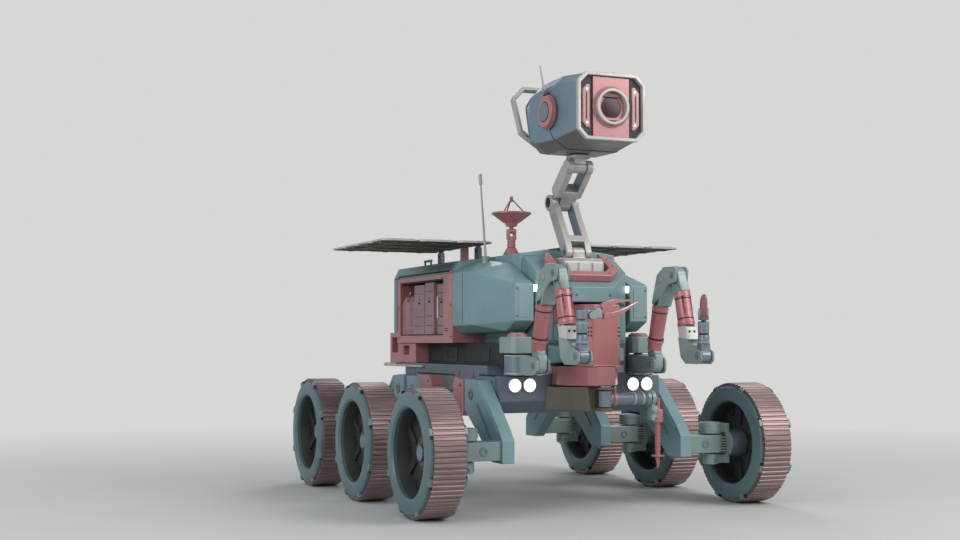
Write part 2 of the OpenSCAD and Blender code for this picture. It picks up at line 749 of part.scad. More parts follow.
module forearm(side) color(TEAL) placed() on_side(side) translate([arm_x, 0, 0]) {
    lug = ear_in - ear_gap;
    difference() {
        union() {
            bar_x(36, -lug, lug, elbow_pin_at);
            slab_x(-lug, lug, [[-1058, 1110], [-1082, 1030], [-1160, 1020], [-1122, 1130]]);
        }
        bar_x(pin_r, -lug - 1, lug + 1, elbow_pin_at);
    }
    translate([0, -1122, 1040]) rotate([180 - 14.5, 0, 0]) cylinder(r = sleeve_r, h = 166);
    slab_x(-32, 32, [[-1124, 894], [-1204, 876], [-1214, 816], [-1144, 820]]);
    difference() {
        slab_x(-ear_out, ear_out, [
            [-1140, 826], [-1214, 818], [-1262, 782], [-1300, 776], [-1338, 762], [-1342, 722],
            [-1316, 704], [-1200, 704], [-1160, 734]
        ]);
        span([-ear_in - 3, -1400, 600], [ear_in + 3, -1266, 900]);
    }
    bar_x(pin_r - run_gap, -ear_in - 4, ear_in + 4, wrist_at);
}

module hand_link(side) color(STEEL) placed() on_side(side) translate([arm_x, 0, 0]) {
    difference() {
        union() {
            bar_x(28, -ear_in, ear_in, wrist_at);
            span([-ear_in, hand_at[0] - 20, wrist_at[1]], [ear_in, hand_at[0] + 20, wrist_at[1] + 55]);
            bar_z(link_r, wrist_at[1] + 54, 838, [0, hand_at[0]]);
            bar_z(link_r - 4, 837, 846, [0, hand_at[0]]);
            bar_z(link_r, 845, hand_at[1] - 25, [0, hand_at[0]]);
        }
        bar_x(pin_r, -ear_in - 1, ear_in + 1, wrist_at);
    }
    bar_z(12 - run_gap, hand_at[1] - 26, hand_at[1] + 8, [0, hand_at[0]]);
}

module hand_frame(side)
    translate([side * arm_x, hand_at[0], hand_at[1]])
        rotate([0, 0, HAND_TURN[side < 0 ? 1 : 0]]) children();

module hand_swivel(side) color(TEAL) placed() hand_frame(side) {
    difference() {
        union() {
            bar_z(25, -19, 22, [0, 0]);
            span([0, -13, -19], [tilt_x, 13, 22]);
            rotate([0, 0, 90]) bar_x(20.5, -13, 13, [-tilt_x, 0]);
        }
        bar_z(12, -20, 9, [0, 0]);
        rotate([0, 0, 90]) bar_x(7, -14, 14, [-tilt_x, 0]);
    }
}

module palm_frame(side) hand_frame(side) translate([tilt_x, 0, 0])
    rotate([0, -HAND_TILT[side < 0 ? 1 : 0], 0]) children();

module palm(side) color(TEAL) placed() palm_frame(side) {
    for (s = [0, 1]) mirror([0, s, 0]) translate([0, 14.5, 0]) {
        rotate([0, 0, 90]) bar_x(19, 0, 9, [0, 0]);
        span([0, 0, -19], [palm_l, 9, 19]);
    }
    rotate([0, 0, 90]) bar_x(7 - run_gap, -15, 15, [0, 0]);
    span([26, -23.5, -22], [palm_l, 23.5, 22]);
    for (s = [0, 1]) mirror([0, 0, s]) difference() {
        union() {
            span([palm_l - EPS, -8, jaw_pin[1] - 8], [jaw_pin[0], 8, jaw_pin[1] + 8]);
            rotate([0, 0, 90]) bar_x(8, -8, 8, [-jaw_pin[0], jaw_pin[1]]);
        }
        rotate([0, 0, 90]) bar_x(jaw_pin_r, -9, 9, [-jaw_pin[0], jaw_pin[1]]);
    }
}

// Gripper jaw; edge is +1 for the upper jaw and -1 for the lower
module jaw(side, edge) color(ROSE) placed() palm_frame(side) mirror([0, 0, edge < 0 ? 1 : 0]) {
    difference() {
        intersection() {
            slab_y(-17, 17, [
                [52, 24], [58, 33], [92, 38], [138, 37], [jaw_tip, 7], [jaw_tip, 2.5], [150, 18],
                [100, 16], [80, 9], [60, 9]
            ]);
            slab_z(0, 60, [[40, -17], [96, -17], [jaw_tip, -6], [jaw_tip, 6], [96, 17], [40, 17]]);
        }
        span([40, -9.5, 0], [74, 9.5, 60]);
    }
    rotate([0, 0, 90]) bar_x(jaw_pin_r - run_gap, -12, 12, [-jaw_pin[0], jaw_pin[1]]);
}

chassis();
nose_housing();
centre_hull();
side_pods();
collar();
chest();
cargo_frames();
cargo_load();
rear_box();
rear_tray();
suspension_arms();
pivot_brackets();
shoulder_caps();
headlights();
whip_antenna();
roof_fittings();
mast_base();
knuckle(1, 0);  // knuckle_front_left
knuckle(-1, 0);  // knuckle_front_right
knuckle(1, 1);  // knuckle_middle_left
knuckle(-1, 1);  // knuckle_middle_right
knuckle(1, 2);  // knuckle_rear_left
knuckle(-1, 2);  // knuckle_rear_right
wheel(1, 0);  // wheel_front_left
wheel(-1, 0);  // wheel_front_right
wheel(1, 1);  // wheel_middle_left
wheel(-1, 1);  // wheel_middle_right
wheel(1, 2);  // wheel_rear_left
wheel(-1, 2);  // wheel_rear_right
mast_lower();
mast_upper();
neck();
head_shell();
head_face();
head_ears();
head_rear_ring();
dish_mount();
dish();
wing(1);  // wing_left
wing(-1);  // wing_right
boom();
drill();
turret(1);  // turret_left
upper_arm(1);  // upper_arm_left
forearm(1);  // forearm_left
hand_link(1);  // hand_link_left
hand_swivel(1);  // hand_swivel_left
palm(1);  // palm_left
jaw(1, 1);  // jaw_upper_left
jaw(1, -1);  // jaw_lower_left
turret(-1);  // turret_right
upper_arm(-1);  // upper_arm_right
forearm(-1);  // forearm_right
hand_link(-1);  // hand_link_right
hand_swivel(-1);  // hand_swivel_right
palm(-1);  // palm_right
jaw(-1, 1);  // jaw_upper_right
jaw(-1, -1);  // jaw_lower_right
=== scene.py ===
"""Planetary rover with two working arms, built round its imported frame."""

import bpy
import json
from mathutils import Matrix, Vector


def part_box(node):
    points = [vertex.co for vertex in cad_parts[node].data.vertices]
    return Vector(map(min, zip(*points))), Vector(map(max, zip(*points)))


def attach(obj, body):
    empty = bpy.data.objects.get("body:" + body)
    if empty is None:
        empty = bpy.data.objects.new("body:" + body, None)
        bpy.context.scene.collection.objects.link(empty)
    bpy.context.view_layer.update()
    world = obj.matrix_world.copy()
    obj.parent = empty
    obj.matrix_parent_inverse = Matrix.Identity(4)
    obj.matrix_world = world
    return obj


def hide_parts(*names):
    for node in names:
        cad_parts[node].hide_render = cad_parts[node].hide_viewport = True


bl_info = {
    "name": "Planetary Rover",
    "version": (1, 0, 0),
    "blender": (4, 5, 0),
    "location": "3D View > Sidebar > Rover",
    "description": "Builds the rover's wheels, hull, mast, arms and wings round a fixed frame",
    "category": "Object",
}

import json
import math

import bmesh
import bpy
from mathutils import Matrix, Vector
from mathutils.geometry import convex_hull_2d

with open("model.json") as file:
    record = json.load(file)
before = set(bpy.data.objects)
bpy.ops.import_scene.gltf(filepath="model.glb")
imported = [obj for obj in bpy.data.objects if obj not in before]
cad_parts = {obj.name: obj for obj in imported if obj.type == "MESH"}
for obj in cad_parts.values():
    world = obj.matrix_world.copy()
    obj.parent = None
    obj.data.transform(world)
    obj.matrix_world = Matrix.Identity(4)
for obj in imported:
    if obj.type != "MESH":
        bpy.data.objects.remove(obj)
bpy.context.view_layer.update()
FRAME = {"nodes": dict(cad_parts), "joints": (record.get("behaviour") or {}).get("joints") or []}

SIDES = {"left": 1, "right": -1}
ROWS = ("front", "middle", "rear")
X, Y, Z = Vector((1, 0, 0)), Vector((0, 1, 0)), Vector((0, 0, 1))
TURRET = (0.335, -0.672)  # the left arm's upright axis, from the middle axle


def middle(node):
    """Middle of a frame node's box."""
    low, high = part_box(node)
    return (low + high) / 2


# Sizes and places are in metres from the middle axle: forward is -Y, the left side is +X
AXLE = Matrix.Translation((0, middle("wheel_middle_left").y, 0))


def local(node):
    """(lowest, highest) corner of a frame node, measured from the middle axle."""
    return [AXLE.inverted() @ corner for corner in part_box(node)]


def facing(at, direction):
    """Frame at a point whose Z runs along the direction."""
    turn = Vector(direction).to_track_quat("Z", "Y").to_matrix().to_4x4()
    return Matrix.Translation(at) @ turn


# ---- Settings ----


def paint(label, what, colour):
    """A colour property."""
    return bpy.props.FloatVectorProperty(
        name=label, description=what, default=colour, min=0, max=1, size=3, subtype="COLOR_GAMMA")


def length(label, what, default):
    """A length property, in metres."""
    return bpy.props.FloatProperty(
        name=label, description=what, default=default, min=0, precision=4, unit="LENGTH")


class RoverPaints(bpy.types.PropertyGroup):
    """Colours of the rover's finishes"""

    hull: paint("Hull", "Satin paint of the hull and pods", (0.49, 0.62, 0.64))
    rose: paint("Rose", "Gloss paint of the frames, sleeves and dish", (0.71, 0.43, 0.44))
    chassis: paint("Chassis", "Paint of the chassis and its core", (0.36, 0.40, 0.46))
    nose: paint("Nose", "Paint of the housing that carries the boom", (0.38, 0.35, 0.28))
    pale: paint("Pale metal", "Bare light metal of the mast and frames", (0.72, 0.70, 0.68))
    steel: paint("Steel", "Blue-grey metal of links and turrets", (0.47, 0.52, 0.56))
    arm: paint("Arm", "Grey-green paint of the arms' brackets", (0.54, 0.62, 0.61))
    head: paint("Head", "Blue-grey paint of the camera head", (0.44, 0.53, 0.58))
    copper: paint("Tread", "Worn copper of the wheels' treads", (0.60, 0.51, 0.51))
    rim: paint("Rim", "Paint of the wheels' rims", (0.36, 0.46, 0.47))
    cargo: paint("Cargo", "Dusty rose of the lockers and canisters", (0.60, 0.44, 0.45))
    underside: paint("Underside", "Olive lining under the solar wings", (0.33, 0.33, 0.26))


class RoverSizes(bpy.types.PropertyGroup):
    """Sizes of the details that stand on the frame"""

    ribs: bpy.props.IntProperty(
        name="Tread ribs", description="Ribs round one wheel", default=76, min=24, max=120)
    rib_depth: length("Rib depth", "Depth of the grooves between tread ribs", 0.0050)
    clips: bpy.props.IntProperty(
        name="Rim clips", description="Clips round one rim", default=8, min=4, max=16)
    rounding: bpy.props.FloatProperty(
        name="Edge rounding", description="Rounding of the edges against their usual widths",
        default=1.0, min=0.1, max=2, subtype="FACTOR")
    detail_rounding: bpy.props.FloatProperty(
        name="Detail rounding", description="Rounding of the details as a share of their piece's",
        default=0.8 / 3, min=0, max=1, subtype="FACTOR")
    seam: length("Seam", "Width of the seams between panels", 0.0055)
    bolt: length("Bolt", "Radius of a bolt's head", 0.0080)


class RoverStage(bpy.types.PropertyGroup):
    """The camera and the light"""

    camera: bpy.props.FloatVectorProperty(
        name="Camera", description="The camera's place from the middle axle",
        default=(-3.131, -6.660, 0.803), size=3, subtype="TRANSLATION", unit="LENGTH")
    pitch: bpy.props.FloatProperty(
        name="Pitch", description="Tilt of the camera from straight down",
        default=math.radians(93.044), subtype="ANGLE", unit="ROTATION")
    heading: bpy.props.FloatProperty(
        name="Heading", description="Turn of the camera about the vertical",
        default=math.radians(-23.467), subtype="ANGLE", unit="ROTATION")
    lens: bpy.props.FloatProperty(
        name="Lens", description="Focal length in millimetres", default=51.15, min=10,
        subtype="DISTANCE_CAMERA")
    floor: paint("Floor", "Colour of the floor", (0.80, 0.80, 0.79))


def paints():
    return bpy.context.scene.rover_paints


def sizes():
    return bpy.context.scene.rover_sizes


# ---- Finishes ----


def linear(colour):
    """A display colour as scene-linear values with alpha."""
    values = (c / 12.92 if c < 0.04045 else ((c + 0.055) / 1.055) ** 2.4 for c in colour)
    return (*values, 1.0)


def shade(colour, factor):
    """The colour made darker or lighter."""
    return tuple(min(1.0, c * factor) for c in colour)


class Nodes:
    """Short calls for one material's node tree."""

    def __init__(self, name):
        self.material = bpy.data.materials.new(name)
        self.material.use_nodes = True
        self.tree = self.material.node_tree
        self.shader = self.tree.nodes["Principled BSDF"]

    def add(self, kind, **values):
        node = self.tree.nodes.new(kind)
        for key, value in values.items():
            if hasattr(node, key):
                setattr(node, key, value)
            else:
                node.inputs[key.replace("_", " ")].default_value = value
        return node

    def link(self, start, end):
        self.tree.links.new(start, end)

    def noise(self, scale, detail=3.0):
        place = self.add("ShaderNodeTexCoord")
        noise = self.add("ShaderNodeTexNoise", Scale=scale, Detail=detail)
        self.link(place.outputs["Object"], noise.inputs["Vector"])
        return noise.outputs["Fac"]

    def remap(self, value, low, high, to_low, to_high):
        node = self.add("ShaderNodeMapRange")
        for slot, number in zip(("From Min", "From Max", "To Min", "To Max"),
                                (low, high, to_low, to_high)):
            node.inputs[slot].default_value = number
        self.link(value, node.inputs["Value"])
        return node.outputs["Result"]

    def mix(self, factor, first, second):
        """Mix of two colours, each given as a value or a socket."""
        node = self.add("ShaderNodeMix", data_type="RGBA")
        self.link(factor, node.inputs["Factor"])
        for socket, colour in zip([s for s in node.inputs if s.type == "RGBA"], (first, second)):
            if isinstance(colour, tuple):
                socket.default_value = colour
            else:
                self.link(colour, socket)
        return [s for s in node.outputs if s.type == "RGBA"][0]

    def bump(self, height, strength, distance):
        node = self.add("ShaderNodeBump", Strength=strength, Distance=distance)
        self.link(height, node.inputs["Height"])
        self.link(node.outputs["Normal"], self.shader.inputs["Normal"])

    def set(self, **values):
        for key, value in values.items():
            self.shader.inputs[key.replace("_", " ")].default_value = value


def coated_metal(name, colour, roughness=0.42, metallic=0.15, coat=0.12, edge_highlight=0.35, grain=260.0):
    """Painted or bare metal: mottled, a little orange peel, and lighter along its edges as a
    painted highlight.
    """
    n = Nodes(name)
    cloud = n.remap(n.noise(3.5, 5.0), 0.3, 0.7, 0.0, 1.0)
    base = n.mix(cloud, linear(shade(colour, 0.93)), linear(shade(colour, 1.05)))
    streak = n.remap(n.noise(24.0, 6.0), 0.55, 0.85, 0.0, 0.20)
    dusty = n.mix(streak, base, linear(shade(colour, 0.86)))
    # Lighter colour mixed in where the edges are sharp: a painted highlight on the bevels.
    edges = n.add("ShaderNodeNewGeometry").outputs["Pointiness"]
    highlit_edges = n.remap(edges, 0.515, 0.60, 0.0, edge_highlight)
    edge_highlight_tint = linear(tuple(c * 0.55 + 0.40 for c in colour))
    n.link(n.mix(highlit_edges, dusty, edge_highlight_tint), n.shader.inputs["Base Color"])
    n.link(n.remap(n.noise(9.0, 4.0), 0.3, 0.7, roughness - 0.06, roughness + 0.08),
           n.shader.inputs["Roughness"])
    n.bump(n.noise(grain, 2.0), 0.03, 0.0005)
    n.set(Metallic=metallic, Coat_Weight=coat, Coat_Roughness=0.25)
    return n.material


def dark_recess(name, colour=(0.13, 0.14, 0.15)):
    """Unlit lining of gaps, vents and wheel cavities."""
    n = Nodes(name)
    cloud = n.remap(n.noise(12.0, 4.0), 0.3, 0.7, 0.0, 1.0)
    n.link(n.mix(cloud, linear(shade(colour, 0.8)), linear(colour)), n.shader.inputs["Base Color"])
    n.bump(n.noise(300.0, 2.0), 0.1, 0.0006)
    n.set(Roughness=0.62, Metallic=0.1)
    return n.material


def lamp(name, colour, strength):
    """A lit lamp face with a faint moulded grid."""
    n = Nodes(name)
    cloud = n.remap(n.noise(60.0, 1.0), 0.2, 0.8, 0.0, 1.0)
    tint = n.mix(cloud, linear(shade(colour, 0.94)), linear(colour))
    n.link(tint, n.shader.inputs["Base Color"])
    n.link(tint, n.shader.inputs["Emission Color"])
    n.set(Emission_Strength=strength, Roughness=0.25)
    return n.material


def lens_glass(name):
    """Deep coated camera glass."""
    n = Nodes(name)
    cloud = n.remap(n.noise(20.0, 1.0), 0.3, 0.7, 0.0, 1.0)
    n.link(n.mix(cloud, linear((0.20, 0.11, 0.13)), linear((0.28, 0.16, 0.18))),
           n.shader.inputs["Base Color"])
    n.set(Roughness=0.30, Specular_IOR_Level=0.25, Coat_Weight=0.25, Coat_Roughness=0.30)
    return n.material


def solar_cell(name):
    """Dark cells with fine silver conductors in a grid."""
    n = Nodes(name)
    place = n.add("ShaderNodeTexCoord")
    bricks = n.add("ShaderNodeTexBrick", offset=0.0, squash=1.0)
    for slot, value in {"Scale": 1.0, "Mortar Size": 0.0016, "Mortar Smooth": 0.1,
                        "Brick Width": 0.032, "Row Height": 0.032}.items():
        bricks.inputs[slot].default_value = value
    bricks.inputs["Color1"].default_value = linear((0.07, 0.10, 0.20))
    bricks.inputs["Color2"].default_value = linear((0.09, 0.12, 0.24))
    bricks.inputs["Mortar"].default_value = linear((0.55, 0.58, 0.62))
    n.link(place.outputs["Object"], bricks.inputs["Vector"])
    n.link(bricks.outputs["Color"], n.shader.inputs["Base Color"])
    n.bump(bricks.outputs["Fac"], 0.15, 0.0005)
    n.set(Roughness=0.22, Metallic=0.2, Coat_Weight=0.8, Coat_Roughness=0.08)
    return n.material


def worn_copper(name, colour):
    """Tread metal: coppery, scuffed across the ribs."""
    n = Nodes(name)
    place = n.add("ShaderNodeTexCoord")
    stretch = n.add("ShaderNodeMapping")
    stretch.inputs["Scale"].default_value = (2.0, 40.0, 40.0)
    scuffs = n.add("ShaderNodeTexNoise", Scale=3.0, Detail=6.0)
    n.link(place.outputs["Object"], stretch.inputs["Vector"])
    n.link(stretch.outputs["Vector"], scuffs.inputs["Vector"])
    scuff = n.remap(scuffs.outputs["Fac"], 0.35, 0.75, 0.0, 1.0)
    base = n.mix(scuff, linear(shade(colour, 0.88)), linear(shade(colour, 1.12)))
    n.link(base, n.shader.inputs["Base Color"])
    n.link(n.remap(scuffs.outputs["Fac"], 0.3, 0.7, 0.30, 0.46), n.shader.inputs["Roughness"])
    n.bump(scuffs.outputs["Fac"], 0.12, 0.001)
    n.set(Metallic=0.75)
    return n.material


FINISHES = {}


def make_finishes():
    p = paints()
    FINISHES.update({
        "hull": coated_metal("hull_paint", p.hull, roughness=0.50, coat=0.04),
        "rose": coated_metal("rose_paint", p.rose, roughness=0.36, coat=0.45),
        "chassis": coated_metal("chassis_paint", p.chassis, roughness=0.45),
        "nose": coated_metal("nose_paint", p.nose, roughness=0.42),
        "pale": coated_metal("pale_metal", p.pale, roughness=0.38, metallic=0.25),
        "steel": coated_metal("blue_steel", p.steel, roughness=0.36, metallic=0.35),
        "arm": coated_metal("arm_paint", p.arm, roughness=0.36),
        "head": coated_metal("head_paint", p.head, roughness=0.48, coat=0.05),
        "rim": coated_metal("rim_paint", p.rim, roughness=0.36),
        "hub": coated_metal("hub_paint", (0.34, 0.22, 0.21), roughness=0.45),
        "cargo": coated_metal("cargo_paint", p.cargo, roughness=0.42),
        "under": coated_metal("wing_lining", p.underside, roughness=0.62, metallic=0.0, coat=0.0),
        "white": coated_metal("white_enamel", (0.80, 0.80, 0.78), roughness=0.3, metallic=0.1),
        "copper": worn_copper("tread_copper", p.copper),
        "dark": dark_recess("dark_gap"),
        "web": dark_recess("wheel_web", (0.20, 0.21, 0.21)),
        "bezel": dark_recess("face_recess", (0.28, 0.27, 0.27)),
        # Warm grey for the head's downward faces: painted shade under the head.
        "belly_shade": coated_metal("head_belly_shade", (0.42, 0.40, 0.38), roughness=0.45),
        "panel": coated_metal("head_panel", (0.30, 0.38, 0.48), roughness=0.40),
        "lamp": lamp("lamp_face", (1.0, 1.0, 0.98), 3.0),
        "glow": lamp("light_strip", (1.0, 0.98, 0.95), 2.0),
        "glass": lens_glass("camera_glass"),
        "cell": solar_cell("solar_cells"),
    })


# ---- Shapes ----

WELD = 2e-5  # corners nearer than this are one
LEVEL = 0.99998  # cosine between the normals of faces that count as one flat
WHOLE = 0.9995  # share of its outline's area that a patch without holes fills
SUNK = 0.002  # how deep the foot of a detail is let into its face
TUBE_SKIN = 0.0075  # how far a face's middle may lie off a tube's true radius


class Shape:
    """Faces with their finishes, measured from the middle axle, that become one object."""

    def __init__(self, node=None, finish="hull"):
        self.bm = bmesh.new()
        self.node = node
        self.names = []
        self.frame = Matrix.Identity(4)
        if node:
            self.take(node, finish)
        self.body = self.bm.faces.layers.int.new("body")
        for face in self.bm.faces:
            face[self.body] = 1

    def index(self, finish):
        if finish not in self.names:
            self.names.append(finish)
        return self.names.index(finish)

    def take(self, node, finish):
        """A frame node's faces; finish is a name, or a rule from centre and normal to one."""
        self.bm.from_mesh(FRAME["nodes"][node].data)
        bmesh.ops.remove_doubles(self.bm, verts=self.bm.verts, dist=WELD)
        self.bm.transform(AXLE.inverted())
        self.join_flats()
        for face in self.bm.faces:
            name = finish(face.calc_center_median(), face.normal) if callable(finish) else finish
            face.material_index = self.index(name)

    def join_flats(self):
        """Each flat, convex patch becomes one face."""
        seen = set()
        patches = []
        for seed in self.bm.faces:
            if seed in seen:
                continue
            seen.add(seed)
            patch = [seed]
            for member in patch:
                for edge in member.edges:
                    for face in edge.link_faces:
                        if face not in seen and face.normal.dot(seed.normal) > LEVEL:
                            seen.add(face)
                            patch.append(face)
            patches.append(patch)
        for patch in patches:
            level = patch[0].normal.rotation_difference(Z)
            corners = dict.fromkeys(vert for face in patch for vert in face.verts)
            points = [(level @ vert.co).xy for vert in corners]
            hull = [points[i] for i in convex_hull_2d(points)]
            outline = abs(sum(a.x * b.y - b.x * a.y for a, b in zip(hull, hull[1:] + hull[:1]))) / 2
            if len(patch) > 1 and sum(face.calc_area() for face in patch) > WHOLE * outline:
                bmesh.utils.face_join(patch, True)

    def both_sides(self):
        """Each side in turn, with the frame mirrored on the right; details are given once."""
        for side in SIDES.values():
            self.frame = mirrored(side)
            yield side
        self.frame = Matrix.Identity(4)

    def add(self, points, faces, finish):
        """Faces given by indexes into points."""
        verts = [self.bm.verts.new(self.frame @ Vector(p)) for p in points]
        for face in faces:
            self.bm.faces.new([verts[i] for i in face]).material_index = self.index(finish)

    def prism(self, outline, axis, low, high, finish):
        """An outline of two coordinates, drawn out along the axis."""
        count = len(outline)
        place = {"x": lambda u, v, w: (w, u, v), "y": lambda u, v, w: (u, w, v),
                 "z": lambda u, v, w: (u, v, w)}[axis]
        points = [place(u, v, low) for u, v in outline] + [place(u, v, high) for u, v in outline]
        sides = [(i, (i + 1) % count, count + (i + 1) % count, count + i) for i in range(count)]
        ends = [range(count), range(2 * count - 1, count - 1, -1)]
        self.add(points, ends + sides, finish)

    def block(self, low, high, finish):
        """Box between two opposite corners."""
        self.prism([(low[0], low[1]), (high[0], low[1]), (high[0], high[1]), (low[0], high[1])],
                   "z", low[2], high[2], finish)

    def plate(self, centre, width, height, thick, cut, finish):
        """Plate with cut corners that stands proud of the plane of the current frame."""
        w, h = width / 2, height / 2
        outline = [(w - cut, -h), (w, cut - h), (w, h - cut), (w - cut, h),
                   (cut - w, h), (-w, h - cut), (-w, cut - h), (cut - w, -h)]
        outline = [(u + centre[0], v + centre[1]) for u, v in outline]
        self.prism(outline, "z", -SUNK, thick, finish)

    def lathe(self, profile, finish, steps=48, at=None):
        """A closed profile of (radius, height), turned about the Z of the frame."""
        frame = self.frame if at is None else self.frame @ at
        rings = []
        for radius, height in profile:
            count = 1 if radius < 1e-6 else steps
            turn = [2 * math.pi * i / steps for i in range(count)]
            rings.append([self.bm.verts.new(frame @ Vector(
                (radius * math.cos(a), radius * math.sin(a), height))) for a in turn])
        on_axis = len(rings[0]) == 1
        pairs = list(zip(rings, rings[1:])) + ([] if on_axis else [(rings[-1], rings[0])])
        for low, high in pairs:
            for i in range(steps):
                j = (i + 1) % steps
                corners = list(dict.fromkeys([low[i % len(low)], low[j % len(low)],
                                              high[j % len(high)], high[i % len(high)]]))
                if len(corners) > 2:
                    self.bm.faces.new(corners).material_index = self.index(finish)

    def disc(self, at, direction, radius, height, finish, steps=32, hole=0.0):
        """Flat round boss, or a ring if it has a hole."""
        profile = [(hole, -SUNK), (radius, -SUNK), (radius, height), (hole, height)]
        self.lathe(profile, finish, steps, facing(at, direction))

    def bolt(self, at, direction, finish="steel", scale=1.0):
        """Washer and hexagonal head."""
        r = sizes().bolt * scale
        self.disc(at, direction, r * 1.35, r * 0.2, finish, 16)
        self.lathe([(0, 0), (r, 0), (r, r * 0.7), (r * 0.8, r * 0.85), (0, r * 0.85)], finish, 6,
                   facing(at, direction))

    def rod(self, start, end, radius, finish, steps=16):
        """Round bar between two points."""
        start, end = Vector(start), Vector(end)
        reach = (end - start).length
        self.lathe([(0, 0), (radius, 0), (radius, reach), (0, reach)], finish, steps,
                   facing(start, end - start))

    def path(self, points, radius, finish, steps=8):
        """Round bead along a chain of points."""
        for start, end in zip(points, points[1:]):
            self.rod(start, end, radius, finish, steps=steps)

    def round_edges(self, smooth):
        """Marks how much each edge is rounded: those of the details less than the body's."""
        weight = self.bm.edges.layers.float.new("bevel_weight_edge")
        plain = all(face[self.body] == 0 for face in self.bm.faces)
        for edge in self.bm.edges:
            if len(edge.link_faces) == 2 and edge.calc_face_angle(0) > math.radians(smooth):
                body = plain or all(face[self.body] for face in edge.link_faces)
                edge[weight] = 1.0 if body else sizes().detail_rounding

    def finish(self, name, body, slot, edge, node=None, smooth=32):
        """The object, with rounded edges, riding on its body in place of its node."""
        self.bm.transform(AXLE)
        bmesh.ops.recalc_face_normals(self.bm, faces=self.bm.faces)
        self.round_edges(smooth)
        mesh = bpy.data.meshes.new(name)
        self.bm.to_mesh(mesh)
        self.bm.free()
        for finish in self.names:
            mesh.materials.append(FINISHES[finish])
        mesh.polygons.foreach_set("use_smooth", [True] * len(mesh.polygons))
        mesh.set_sharp_from_angle(angle=math.radians(smooth))
        thing = bpy.data.objects.new(name, mesh)
        bpy.context.scene.collection.objects.link(thing)
        bevel = thing.modifiers.new("edges", "BEVEL")
        bevel.width = edge * sizes().rounding
        bevel.segments = 2
        bevel.limit_method = "WEIGHT"
        bevel.use_clamp_overlap = False
        bevel.harden_normals = True
        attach(thing, body)
        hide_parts(node or self.node)


def mirrored(side):
    """Frame in which the left side's details land on the given side."""
    return Matrix.Scale(side, 4, X)


def on_tube(point, start, end, radius):
    """Whether a point lies on the skin of a round tube."""
    along = (point - start).dot((end - start).normalized())
    off = math.sqrt(max(0.0, (point - start).length_squared - along * along))
    return 0 < along < (end - start).length and abs(off - radius) < TUBE_SKIN


class RoverOperator(bpy.types.Operator):
    """What the operators of all the pieces share"""

    bl_options = {"REGISTER", "UNDO"}


# ---- Running gear ----


